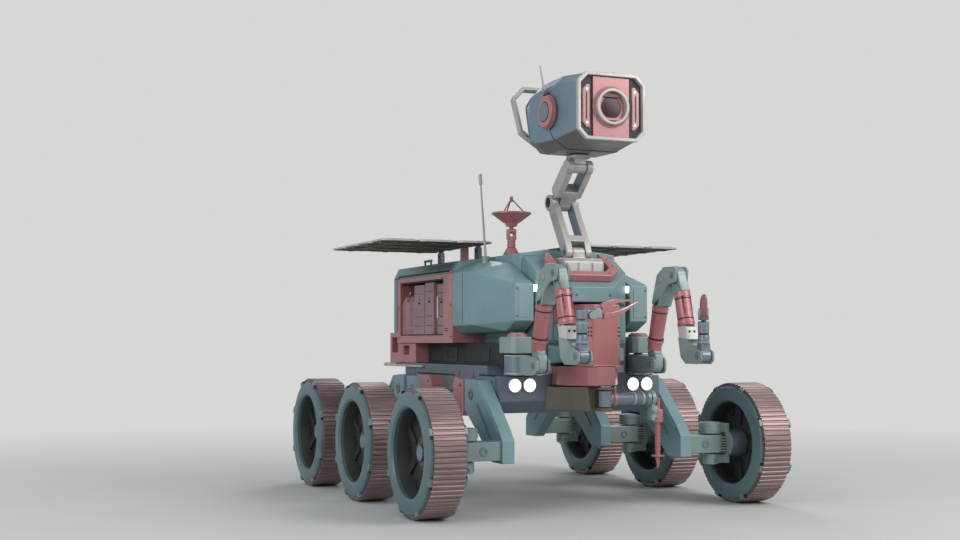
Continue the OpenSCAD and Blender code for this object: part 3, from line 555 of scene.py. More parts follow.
class ROVER_OT_wheels(RoverOperator):
    """Six ribbed wheels with bright rims, clips and dark webs"""

    bl_idname = "rover.wheels"
    bl_label = "Wheels"

    TREAD_BORE = 0.268
    TREAD_SET_BACK = 0.018  # from the wheel's side
    HUB_FACE = 0.020
    SPOKES = 6
    HUB_BOLTS = 8

    def tread(self, shape, radius, half):
        """Ring of ribs and grooves with a plain bore."""
        s = sizes()
        step = 2 * math.pi / s.ribs
        outline = []
        for i in range(s.ribs):
            for part, r in ((0.0, radius - s.rib_depth), (0.22, radius - s.rib_depth),
                            (0.36, radius), (0.86, radius)):
                a = (i + part) * step
                outline.append((r * math.cos(a), r * math.sin(a)))
        bore = [(self.TREAD_BORE * u / math.hypot(u, v), self.TREAD_BORE * v / math.hypot(u, v))
                for u, v in outline]
        loops = ((-half, bore), (-half, outline), (half, outline), (half, bore))
        points = [(x, u, v) for x, ring in loops for u, v in ring]
        count = len(outline)
        faces = []
        for loop in range(4):
            here, after = loop * count, (loop + 1) % 4 * count
            for i in range(count):
                j = (i + 1) % count
                faces.append((here + i, here + j, after + j, after + i))
        shape.add(points, faces, "copper")

    def rim(self, shape, half, out):
        """Bright lip, the dark gap round it, and the clips that hold the tread."""
        s = sizes()
        frame = Matrix.Rotation(math.radians(90 * out), 4, Y)
        shape.lathe([(0.205, half - 0.030), (0.205, half - 0.010), (0.215, half), (0.262, half),
                     (0.279, half - 0.007), (0.283, half - 0.020), (0.283, half - 0.030)],
                    "rim", 96, frame)
        shape.lathe([(0.270, half - 0.030), (0.289, half - 0.024), (0.2945, half - 0.016),
                     (0.2945, half - 0.030)], "dark", 96, frame)
        for i in range(s.clips):
            shape.frame = frame @ Matrix.Rotation(2 * math.pi * (i + 0.5) / s.clips, 4, Z)
            shape.block((0.272, -0.017, half - 0.022), (0.2955, 0.017, half - 0.004), "rim")
            shape.block((0.276, 0.020, half - 0.022), (0.2940, 0.028, half - 0.008), "dark")
        shape.frame = Matrix.Identity(4)

    def web(self, shape, out):
        """Dark barrel and its disc, with spokes and ringed holes."""
        frame = Matrix.Rotation(math.radians(90 * out), 4, Y)
        barrel = [(0.206, 0.0), (0.204, 0.070), (0.200, 0.062), (0.186, 0.014), (0.186, 0.0)]
        shape.lathe(barrel, "web", 96, frame)
        shape.lathe([(0.040, 0.0), (0.204, 0.0), (0.204, 0.010), (0.110, 0.014), (0.040, 0.014)],
                    "web", 64, frame)
        for i in range(self.SPOKES):
            shape.frame = frame @ Matrix.Rotation(2 * math.pi * i / self.SPOKES, 4, Z)
            shape.prism([(0.088, -0.010), (0.196, -0.022), (0.196, 0.022), (0.088, 0.010)],
                        "z", 0.010, 0.026, "web")
            shape.disc((0.150, 0.078, 0.012), Z, 0.024, 0.004, "dark", 24, 0.016)
        shape.frame = Matrix.Identity(4)

    def hub(self, shape):
        """Bolted flange on the outer side."""
        frame = Matrix.Rotation(math.radians(90), 4, Y)
        shape.lathe([(0.027, 0.006), (0.080, 0.006), (0.080, 0.016), (0.066, self.HUB_FACE),
                     (0.027, self.HUB_FACE)], "hub", 48, frame)
        for i in range(self.HUB_BOLTS):
            a = 2 * math.pi * i / self.HUB_BOLTS
            shape.bolt((self.HUB_FACE - SUNK, 0.052 * math.cos(a), 0.052 * math.sin(a)), X,
                       "steel", 0.8)

    def execute(self, context):
        for side_name, side in SIDES.items():
            for row in ROWS:
                name = f"{row}_{side_name}"
                low, high = local(f"wheel_{name}")
                radius, half = (high.z - low.z) / 2, (high.x - low.x) / 2
                shape = Shape()
                self.tread(shape, radius, half - self.TREAD_SET_BACK)
                for out in (1, -1):
                    self.rim(shape, half, out)
                    self.web(shape, out)
                self.hub(shape)
                shape.bm.transform(Matrix.Translation((low + high) / 2) @ mirrored(side))
                shape.finish(f"wheel_{name}_skin", f"wheel_{name}", "wheel_metal", 0.0016,
                             node=f"wheel_{name}")
        return {"FINISHED"}


class ROVER_OT_knuckles(RoverOperator):
    """Steering knuckles with banded heads, yoke bolts and motor covers"""

    bl_idname = "rover.knuckles"
    bl_label = "Steering knuckles"

    KINGPIN = 0.196  # inwards from the wheel's middle
    HEAD_BANDS = (0.368, 0.392)
    FOOT_BANDS = (0.212, 0.228)
    YOKE_BOLTS = (0.215, 0.385)
    FLANGE, FLANGE_BOLTS = 0.1775, 8

    def execute(self, context):
        for side_name, side in SIDES.items():
            for row in ROWS:
                name = f"{row}_{side_name}"
                top = local(f"knuckle_{name}")[1].z
                hub = sum(local(f"wheel_{name}"), Vector()) / 2
                king = hub.x - side * self.KINGPIN
                shape = Shape(f"knuckle_{name}", lambda c, n: (
                    "steel" if abs(c.x - king) > 0.085 else "arm"))
                for z in self.HEAD_BANDS:
                    shape.disc((king, hub.y, z), Z, 0.0565, 0.005, "arm", 48, 0.05)
                shape.disc((king, hub.y, top - 0.001), Z, 0.036, 0.004, "steel", 32)
                for z in self.FOOT_BANDS:
                    shape.disc((king, hub.y, z), Z, 0.0400, 0.005, "arm", 40, 0.034)
                for z in self.YOKE_BOLTS:
                    shape.bolt((king, hub.y - 0.0375, z), -Y, "steel", 0.9)
                for i in range(self.FLANGE_BOLTS):
                    a = 2 * math.pi * (i + 0.5) / self.FLANGE_BOLTS
                    shape.bolt((king + side * self.FLANGE, hub.y + 0.058 * math.cos(a),
                                hub.z + 0.058 * math.sin(a)), (side, 0, 0), "steel", 0.6)
                shape.finish(f"knuckle_{name}_skin", f"knuckle_{name}", "knuckle_paint", 0.0025)
        return {"FINISHED"}


class ROVER_OT_suspension(RoverOperator):
    """Suspension arms with edge ridges and ribbed steering lugs, and their pivot brackets"""

    bl_idname = "rover.suspension"
    bl_label = "Suspension arms"

    LEAN = {"front": 1, "middle": 1, "rear": -1}
    INNER, OUTER = 0.448, 0.512  # the arm's two faces
    LUG_RIBS, LUG_PITCH = 6, 0.013
    BRACKET_FACE = 0.522
    BRACKET_BOLTS = ((-0.405, 0.595), (0.030, 0.605))
    RIDGE = ((-0.024, 0.389), (-0.016, 0.372), (0.208, 0.584), (0.195, 0.596))
    INSET = ((0.040, 0.350), (0.062, 0.340), (0.232, 0.500), (0.214, 0.512))

    def arm(self, shape, side, axle, lean):
        """Ridge and inset on both faces, the pivot's ring, and the ribs of the steering lug."""
        inner, outer = self.INNER, self.OUTER
        shape.frame = mirrored(side) @ Matrix.Translation((0, axle, 0)) @ Matrix.Scale(lean, 4, Y)
        for face, out in ((outer, 1), (inner, -1)):
            near, far = sorted((face - out * SUNK, face + out * 0.004))
            shape.prism(self.RIDGE, "x", near, far, "hull")
            shape.prism(self.INSET, "x", near, far - 0.001 if out > 0 else far, "rim")
        shape.block((inner + 0.012, 0.262, 0.600), (outer - 0.012, 0.330, 0.6255), "rim")
        shape.disc((outer, 0.300, 0.550), X, 0.026, 0.004, "rim", 32, 0.012)
        for i in range(self.LUG_RIBS):
            z = 0.262 + self.LUG_PITCH * i
            shape.block((0.650, -0.0575, z), (0.7245, 0.0575, z + 0.006), "arm")
        shape.disc((0.600, -0.058, 0.300), -Y, 0.020, 0.004, "steel", 24, 0.010)
        shape.frame = Matrix.Identity(4)

    def execute(self, context):
        shape = Shape("suspension_arms", lambda c, n: "arm" if abs(c.x) > 0.515 else "hull")
        for side in SIDES.values():
            for row in ROWS:
                axle = (sum(local(f"wheel_{row}_left"), Vector()) / 2).y
                self.arm(shape, side, axle, self.LEAN[row])
        shape.finish("suspension_skin", "root", "hull_paint", 0.004, smooth=8)
        brackets = Shape("pivot_brackets", "rose")
        for side in SIDES.values():
            for y, z in self.BRACKET_BOLTS:
                brackets.bolt((side * self.BRACKET_FACE, y, z), (side, 0, 0), "steel")
        brackets.finish("bracket_skin", "root", "rose_paint", 0.006)
        return {"FINISHED"}


# ---- Chassis and hull ----


class ROVER_OT_chassis(RoverOperator):
    """Chassis with its side panels, the nose housing, the chest column and the lamps"""

    bl_idname = "rover.chassis"
    bl_label = "Chassis and front"

    SIDE = 0.440  # face of the chassis' side
    # (front, back, bottom, top)
    PANELS = ((-0.654, -0.431, 0.560, 0.633), (-0.163, 0.418, 0.560, 0.627))
    SIDE_SEAMS = (-0.38, -0.20, 0.44)
    CORE = 0.364  # face of the recessed core above the chassis
    CORE_COVERS = ((-0.40, -0.30), (0.02, 0.20))
    CORE_SLOTS = 5
    FLOOR_BOLTS = (-0.62, -0.35, -0.08, 0.19)
    FLOOR_PLATES = (-0.50, -0.20, 0.10)
    BOOM_PIN_Y = -0.940
    LAMPS = (0.285, 0.363)

    def chassis(self):
        face, floor = self.SIDE, local("chassis")[0].z
        # The waist sides above the chassis take the dark wheel-web lining: painted shade where the
        # waist lies in deep shadow.
        shape = Shape("chassis", lambda c, n: (
            "web" if abs(c.x) > 0.345 and c.z > 0.685 else "chassis"))
        for _ in shape.both_sides():
            for y0, y1, z0, z1 in self.PANELS:
                shape.block((face - 0.01, y0, z0), (face + 0.006, y1, z1), "rim")
                shape.block((face - 0.01, y0 + 0.02, z1 + 0.006),
                            (face + 0.001, y1 - 0.02, z1 + 0.014), "dark")
                for y in (y0 + 0.02, y1 - 0.02):
                    shape.bolt((face + 0.006, y, z0 + 0.018), X, "steel", 0.8)
            for y in self.SIDE_SEAMS:
                shape.block((face - 0.01, y, 0.500), (face + 0.0008, y + sizes().seam, 0.660),
                            "dark")
            for y0, y1 in self.CORE_COVERS:
                shape.block((self.CORE - 0.009, y0, 0.705), (self.CORE, y1, 0.780), "bezel")
            for i in range(self.CORE_SLOTS):
                y = 0.05 + 0.028 * i
                shape.block((self.CORE - 0.004, y, 0.720), (self.CORE + 0.0012, y + 0.012, 0.765),
                            "dark")
            for y in self.FLOOR_BOLTS:
                shape.bolt((0.395, y, floor), -Z, "steel", 1.3)
        for y in self.FLOOR_PLATES:
            shape.block((-0.34, y, floor - 0.004), (0.34, y + 0.24, floor + 0.01), "chassis")
        shape.block((-0.235, -0.7035, 0.655), (0.235, -0.690, 0.690), "pale")
        shape.finish("chassis_skin", "root", "chassis_paint", 0.004, smooth=8)

    def nose(self):
        shape = Shape("nose_housing", "nose")
        for _ in shape.both_sides():
            for z in (0.560, 0.510):
                shape.bolt((0.150, -0.705, z), (0.3, -1, 0), "steel")
        for z, way in ((0.592, Z), (0.478, -Z)):
            shape.disc((0, self.BOOM_PIN_Y, z), way, 0.027, 0.005, "pale", 32, 0.015)
        shape.finish("nose_skin", "root", "nose_paint", 0.004, smooth=8)

    def chest(self):
        """Column with a grid of vents on its bevelled corners."""
        shape = Shape("chest", "rose")
        corner, edge = Vector((0.064, -0.945, 0)), Vector((0.100, -0.908, 0))
        for side in SIDES.values():
            along = (edge - corner).normalized()
            out = Vector((along.y, -along.x, 0))
            turn = Matrix((along, Z, out)).transposed().to_4x4()
            shape.frame = mirrored(side) @ Matrix.Translation((corner + edge) / 2) @ turn
            for row in range(3):
                for column in (-1, 0, 1):
                    shape.plate((column * 0.0145, 0.835 + row * 0.019), 0.0105, 0.0085, 0.0012,
                                0.002, "dark")
            shape.frame = mirrored(side)
            for z0, z1 in ((0.700, 0.715), (0.965, 0.978)):
                shape.block((0.095, -0.890, z0), (0.1025, -0.72, z1), "rose")
            shape.block((0.098, -0.86, 0.74), (0.1012, -0.855, 0.95), "dark")
        shape.frame = Matrix.Identity(4)
        for z in (0.688, 0.594):
            shape.block((-0.0455, -0.9455, z), (0.0455, -0.93, z + sizes().seam), "dark")
        shape.finish("chest_skin", "root", "rose_paint", 0.007, smooth=8)

    def lamps(self):
        """Four lamps in their bezels."""
        shape = Shape()
        for side in SIDES.values():
            for x in self.LAMPS:
                shape.frame = facing((side * x, -0.700, 0.597), -Y)
                shape.lathe([(0, 0), (0.031, 0), (0.031, 0.007), (0.022, 0.0105), (0, 0.012)],
                            "lamp", 32)
                shape.lathe([(0.030, 0), (0.036, 0), (0.036, 0.008), (0.033, 0.0105),
                             (0.030, 0.009)], "pale", 32)
        shape.finish("headlight_skin", "root", "lamp_glass", 0.001, node="headlights")

    def execute(self, context):
        self.chassis()
        self.nose()
        self.chest()
        self.lamps()
        return {"FINISHED"}


class ROVER_OT_hull(RoverOperator):
    """Hull block, faceted pods, collar and the shoulder caps"""

    bl_idname = "rover.hull"
    bl_label = "Hull"

    FRONT = -0.699  # just behind the face of the front block
    ROOF = 1.260
    ROOF_SEAMS = (-0.13, 0.15, 0.43, 0.71)
    ROOF_SEAM_X = 0.150
    VENT_SLOTS = 7
    DOOR_Z, DOOR_SLOTS = 1.050, 6
    CAP_TOP = 0.845

    def centre(self):
        shape = Shape("centre_hull", "hull")
        for _ in shape.both_sides():
            shape.block((0.100, self.FRONT - 0.0085, 0.900), (0.152, self.FRONT, 0.982), "rose")
            shape.block((0.100, self.FRONT - 0.0085, 0.812), (0.152, self.FRONT, 0.892), "hull")
            shape.block((0.158, self.FRONT - 0.0075, 0.812), (0.240, self.FRONT, 0.975), "hull")
            shape.bolt((0.092, -0.830, 1.034), -Y, "steel", 0.8)
            shape.block((0.246, -0.712, 1.050), (0.262, -0.700, 1.084), "glow")
            # A dark strip under the roof's edge and a strip of darker rim paint on the roof's
            # slope: painted shade under the overhang and on the shadowed facet.
            shape.prism([(0.4506, 1.1710), (0.4440, 1.1820), (0.4400, 1.1800), (0.4470, 1.1680)],
                        "y", -0.110, 0.700, "dark")
            shape.prism([(0.4395, 1.1880), (0.4190, 1.2190), (0.4150, 1.2170), (0.4355, 1.1860)],
                        "y", -0.100, 0.470, "rim")
            shape.bolt((0.128, -0.822, 0.745), -Y, "steel", 0.9)
        self.roof(shape)
        self.back(shape, local("centre_hull")[1].y)
        shape.finish("hull_skin", "root", "hull_paint", 0.005, smooth=8)

    def roof(self, shape):
        """Seams, a slotted vent, a bolted plate and two grab rails."""
        seam, roof = sizes().seam, self.ROOF
        for y in self.ROOF_SEAMS:
            shape.block((-0.152, y, roof), (0.152, y + seam, roof + 0.0027), "dark")
        first, last = self.ROOF_SEAMS[0], self.ROOF_SEAMS[-1]
        for x in (-self.ROOF_SEAM_X, self.ROOF_SEAM_X - seam):
            shape.block((x, first, roof), (x + seam, last, roof + 0.0027), "dark")
        shape.block((-0.095, 0.20, roof - 0.005), (0.095, 0.39, roof + 0.010), "hull")
        for i in range(self.VENT_SLOTS):
            y = 0.218 + 0.024 * i
            shape.block((-0.078, y, roof + 0.006), (0.078, y + 0.010, roof + 0.0112), "dark")
        shape.block((-0.060, 0.50, roof - 0.005), (0.060, 0.62, roof + 0.008), "pale")
        for x in (-0.048, 0.048):
            for y in (0.512, 0.608):
                shape.bolt((x, y, roof + 0.008), Z, "steel", 0.7)
        for _ in shape.both_sides():
            for y in (0.470, 0.560):
                shape.rod((0.335, y, 1.238), (0.335, y, 1.262), 0.006, "hull")
            shape.rod((0.335, 0.462, 1.262), (0.335, 0.568, 1.262), 0.007, "hull")

    def back(self, shape, back):
        """Slotted rear door, two lamps and the plates under them."""
        shape.frame = facing((0, back, 0), Y)
        sign = 1 if (shape.frame.to_3x3() @ Y).z > 0 else -1
        shape.plate((0, sign * self.DOOR_Z), 0.460, 0.300, 0.006, 0.04, "hull")
        shape.plate((0, sign * self.DOOR_Z), 0.380, 0.230, 0.010, 0.03, "rose")
        for i in range(self.DOOR_SLOTS):
            z = self.DOOR_Z - 0.060 + 0.024 * i
            shape.plate((0, sign * z), 0.260, 0.010, 0.0115, 0.002, "dark")
        for x in (-0.28, 0.28):
            shape.plate((x, sign * 1.120), 0.050, 0.050, 0.008, 0.01, "pale")
            shape.plate((x, sign * 1.120), 0.036, 0.036, 0.011, 0.008, "glow")
            shape.plate((x, sign * 0.950), 0.060, 0.110, 0.005, 0.01, "rim")
        shape.frame = Matrix.Identity(4)

    def pods(self):
        shape = Shape("side_pods", "hull")
        for _ in shape.both_sides():
            shape.block((0.285, -0.7175, 0.925), (0.348, -0.710, 1.070), "hull")
            for z in (0.932, 1.063):
                shape.bolt((0.3565, -0.715, z), -Y, "steel", 0.6)
            shape.block((0.444, -0.262, 0.900), (0.4508, -0.262 + sizes().seam, 1.155), "dark")
        shape.finish("pod_skin", "root", "hull_paint", 0.006, smooth=8)

    def collar(self):
        """Ring plate that leans forward round the mast's foot."""
        shape = Shape("collar", "rose")
        lean = Matrix.Translation((0, -0.795, 1.095)) @ Matrix.Rotation(math.radians(31), 4, X)
        for side in SIDES.values():
            shape.frame = mirrored(side) @ lean
            for x, y in ((0.160, 0.100), (0.160, 0.170), (0.110, 0.027)):
                shape.bolt((x, y, 0.040), Z, "rose", 0.8)
        shape.finish("collar_skin", "root", "rose_paint", 0.007, smooth=8)

    def caps(self):
        shape = Shape("shoulder_caps", lambda c, n: "rose" if c.z > 0.832 else "arm")
        for side in SIDES.values():
            at = Vector((side * TURRET[0], TURRET[1], self.CAP_TOP))
            shape.disc(at, Z, 0.036, 0.006, "arm", 32, 0.018)
            for i in range(6):
                a = math.pi * i / 3
                shape.bolt(at + Vector((math.cos(a), math.sin(a), 0)) * 0.042, Z, "rose", 0.45)
        shape.finish("cap_skin", "root", "arm_teal", 0.005)

    def execute(self, context):
        self.centre()
        self.pods()
        self.collar()
        self.caps()
        return {"FINISHED"}


class ROVER_OT_cargo(RoverOperator):
    """Side bays with their load, the rear box and the tray"""

    bl_idname = "rover.cargo"
    bl_label = "Cargo bays"

    SIDE = 0.450  # outer face of the frames
    BAY = (0.010, 0.655)  # front and back of the bay's opening
    # (front, back, height, inset from the frame)
    LOCKERS = ((0.0198, 0.1549, 0.275, 0.024), (0.1627, 0.2910, 0.286, 0.008),
               (0.3001, 0.4540, 0.277, 0.008))
    LOCKER_SEAMS = (0.18, 0.36, 0.82)  # shares of a locker's height
    CANISTERS, CANISTER_X = (0.519, 0.613), 0.404
    REAR_PLATES = (-0.30, -0.10, 0.10, 0.30)

    def frames(self):
        # The bay's back wall, facing sideways at |x| 0.255 to 0.27, takes the dark gap lining:
        # painted shade in the bay.
        shape = Shape("cargo_frames", lambda c, n: (
            "dark" if 0.255 < abs(c.x) < 0.27 and abs(n.x) > 0.9 else "rose"))
        for _ in shape.both_sides():
            for z in (0.862, 0.874):
                for y in (-0.062, -0.034):
                    shape.block((self.SIDE - 0.003, y, z),
                                (self.SIDE + 0.0012, y + 0.022, z + 0.005), "dark")
            for y in (-0.105, 0.690):
                for z in (0.83, 1.00, 1.17):
                    shape.bolt((self.SIDE, y, z), X, "rose", 0.9)
            for z0, z1 in ((0.834, 0.848), (1.131, 1.1395)):
                shape.block((0.300, self.BAY[0], z0), (0.446, self.BAY[1], z1), "dark")
        shape.finish("cargo_frame_skin", "root", "rose_paint", 0.005)

    def load(self):
        shape = Shape("cargo_load", "cargo")
        floor = local("cargo_load")[0].z
        for _ in shape.both_sides():
            for y0, y1, height, inset in self.LOCKERS:
                face = self.SIDE - inset
                for part in self.LOCKER_SEAMS:
                    z = floor + height * part
                    shape.block((face - 0.004, y0 + 0.01, z),
                                (face + 0.0008, y1 - 0.01, z + 0.003), "dark")
                mid = (y0 + y1) / 2
                shape.block((face - 0.004, mid - 0.016, floor + height * 0.62),
                            (face + 0.0012, mid + 0.016, floor + height * 0.66), "dark")
                shape.block((face - 0.004, mid - 0.016, floor + height * 0.69),
                            (face + 0.0012, mid + 0.004, floor + height * 0.71), "dark")
            y = self.LOCKERS[0][1] - 0.050
            shape.rod((0.440, y, floor + 0.092), (0.440, y, floor + 0.208), 0.0055, "white")
            for z in (0.095, 0.205):
                shape.rod((0.420, y, floor + z), (0.441, y, floor + z), 0.0050, "white")
            for y in self.CANISTERS:
                shape.disc((self.CANISTER_X, y, floor + 0.236), Z, 0.007, 0.010, "pale", 24)
                for z in (0.040, 0.155):
                    shape.disc((self.CANISTER_X, y, floor + z), Z, 0.0430, 0.008, "rose", 40, 0.038)
        shape.finish("cargo_load_skin", "root", "cargo_paint", 0.004)

    def rear(self):
        shape = Shape("rear_box", lambda c, n: (
            "dark" if 0.390 < abs(c.x) < 0.415 and abs(n.x) > 0.9 else "rose"))
        back = local("rear_box")[1].y
        for x in self.REAR_PLATES:
            shape.block((x - 0.080, back - 0.004, 0.705), (x + 0.080, back + 0.005, 0.820), "rose")
            for dx in (-0.066, 0.066):
                shape.bolt((x + dx, back + 0.005, 0.762), Y, "steel", 0.8)
        shape.finish("rear_box_skin", "root", "rose_paint", 0.004)
        tray = Shape("rear_tray", "pale")
        for side in SIDES.values():
            tray.disc((side * 0.350, 0.880, 0.680), Z, 0.014, 0.0015, "steel", 32, 0.0058)
            near, far = sorted((side * 0.444, side * 0.456))
            tray.block((near, 0.72, 0.678), (far, 0.90, 0.688), "pale")
        tray.finish("tray_skin", "root", "tray_metal", 0.002)

    def execute(self, context):
        self.frames()
        self.load()
        self.rear()
        return {"FINISHED"}


# ---- Roof ----


class ROVER_OT_wings(RoverOperator):
    """Solar wings: chamfered panels with their cells above and a lined underside"""

    bl_idname = "rover.wings"
    bl_label = "Solar wings"

    COLUMNS, LINES = 3, 4
    PITCH_X, PITCH_Y, GAP = 0.205, 0.216, 0.006  # of the panels, and the gap between two
    ROOT_X = 0.255  # inner edge of the first column
    THICK = 0.010
    RIM = 0.026  # faces nearer than this to the wing's edge are its rim

    def execute(self, context):
        pitch_x, pitch_y, gap = self.PITCH_X, self.PITCH_Y, self.GAP
        for side_name, side in SIDES.items():
            low, high = local(f"wing_{side_name}")
            base, top = high.z - self.THICK, high.z
            outer = max(abs(low.x), abs(high.x)) - self.RIM

            def finish(c, n):
                if c.z < base - 0.006:
                    return "rose"
                rim = abs(c.x) > outer or c.y < low.y + self.RIM or c.y > high.y - self.RIM
                return "pale" if n.z > 0.5 or (rim and n.z > -0.5) else "under"

            shape = Shape(f"wing_{side_name}", finish)
            for column in range(self.COLUMNS):
                for line in range(self.LINES):
                    shape.frame = mirrored(side) @ Matrix.Translation((
                        self.ROOT_X + pitch_x * column + (pitch_x - gap) / 2,
                        low.y + pitch_y * line + (pitch_y - gap) / 2, top))
                    shape.plate((0, 0), 0.180, 0.191, 0.0018, 0.022, "cell")
            shape.frame = mirrored(side)
            for column in range(self.COLUMNS):
                for line in range(self.LINES - 1):
                    x = self.ROOT_X + pitch_x * (column + 0.5) - gap / 2
                    y = low.y + pitch_y * (line + 1) - gap / 2
                    shape.block((x - 0.018, y - 0.016, base - 0.0035), (x + 0.018, y + 0.016, base),
                                "under")
            shape.finish(f"wing_{side_name}_skin", f"wing_{side_name}", "solar_panel", 0.0016)
        return {"FINISHED"}


class ROVER_OT_roof_gear(RoverOperator):
    """Hinge forks, wing props, the dish on its mount and the whip antenna"""

    bl_idname = "rover.roof_gear"
    bl_label = "Roof gear"

    DISH_SPOKES = 8
    WHIP = (-0.315, -0.245)

    def execute(self, context):
        fittings = Shape("roof_fittings", lambda c, n: (
            "chassis" if 0.248 < abs(c.x) < 0.276 else "rose"))
        fittings.finish("roof_fitting_skin", "root", "rose_paint", 0.003)
        self.mount()
        self.dish()
        self.whip()
        return {"FINISHED"}

    def mount(self):
        at = sum(local("dish_mount"), Vector()) / 2
        shape = Shape("dish_mount", "rose")
        for z in (1.290, 1.300, 1.318):
            shape.disc((at.x, at.y, z), Z, 0.0225, 0.004, "rose", 32, 0.015)
        shape.finish("dish_mount_skin", "dish_mount", "rose_paint", 0.002)

    def dish(self):
        at = sum(local("dish"), Vector()) / 2
        at.z = 1.372
        shape = Shape("dish", "rose")
        for i in range(self.DISH_SPOKES):
            a = 2 * math.pi * (i + 0.5) / self.DISH_SPOKES
            out = Vector((math.cos(a), math.sin(a), 0))
            shape.rod(at + out * 0.036 + Z * 0.0405, at + out * 0.098 + Z * 0.0865, 0.0022,
                      "rose", steps=8)
        shape.disc((at.x, at.y, at.z + 0.088), Z, 0.1025, 0.003, "rose", 64, 0.096)
        shape.disc((at.x, at.y, at.z + 0.050), Z, 0.012, 0.020, "pale", 24)
        shape.finish("dish_skin", "dish", "rose_paint", 0.0012)

    def whip(self):
        shape = Shape("whip_antenna", "pale")
        for z in (1.222, 1.232, 1.241):
            shape.disc((*self.WHIP, z), Z, 0.0215, 0.004, "steel", 32, 0.016)
        shape.finish("whip_skin", "root", "mast_metal", 0.0015)


# ---- Mast and head ----


class ROVER_OT_mast(RoverOperator):
    """Mast foot, its two slotted links and the neck"""

    bl_idname = "rover.mast"
    bl_label = "Mast"

    FOOT_PIN = (0.070, -0.657, 1.248)
    ELBOW_FACE = 0.076  # from the middle to the face of the elbow's cheek
    FOOT_PADS = ((-0.070, 0.050), (0.0, 0.064), (0.070, 0.050))  # (middle, width)

    def execute(self, context):
        self.foot()

        def link(c, n):
            return "steel" if abs(n.x) > 0.9 and abs(c.x) < 0.05 else "pale"

        elbow = self.pin("mast_upper")
        lower = Shape("mast_lower", link)
        for side in SIDES.values():
            out, cheek = side * X, elbow + side * self.ELBOW_FACE * X
            lower.disc(cheek, out, 0.026, 0.0008, "dark", 40)
            lower.disc(cheek, out, 0.037, 0.003, "pale", 40, 0.027)
            x, y, z = self.FOOT_PIN
            lower.disc((side * x, y, z), out, 0.018, 0.003, "steel", 32, 0.008)
        lower.finish("mast_lower_skin", "mast_lower", "mast_metal", 0.004)
        Shape("mast_upper", link).finish("mast_upper_skin", "mast_upper", "mast_metal", 0.004)
        Shape("neck", "pale").finish("neck_skin", "neck", "mast_metal", 0.003)
        return {"FINISHED"}

    def pin(self, child):
        """The pin where a link turns on the one before it."""
        joint = next(j for j in FRAME["joints"] if j["child"] == child)
        return AXLE.inverted() @ Vector(joint["pos_m"])

    def foot(self):
        """Foot block with three enamelled pads on its front."""
        front = local("mast_base")[0].y
        shape = Shape("mast_base", "pale")
        for x, wide in self.FOOT_PADS:
            shape.block((x - wide / 2, front - 0.006, 1.148), (x + wide / 2, front + 0.01, 1.196),
                        "white")
        for side in SIDES.values():
            for y in (-0.705, -0.609):
                shape.bolt((side * 0.085, y, 1.218), Z, "steel", 0.9)
        shape.finish("mast_foot_skin", "root", "mast_metal", 0.008)


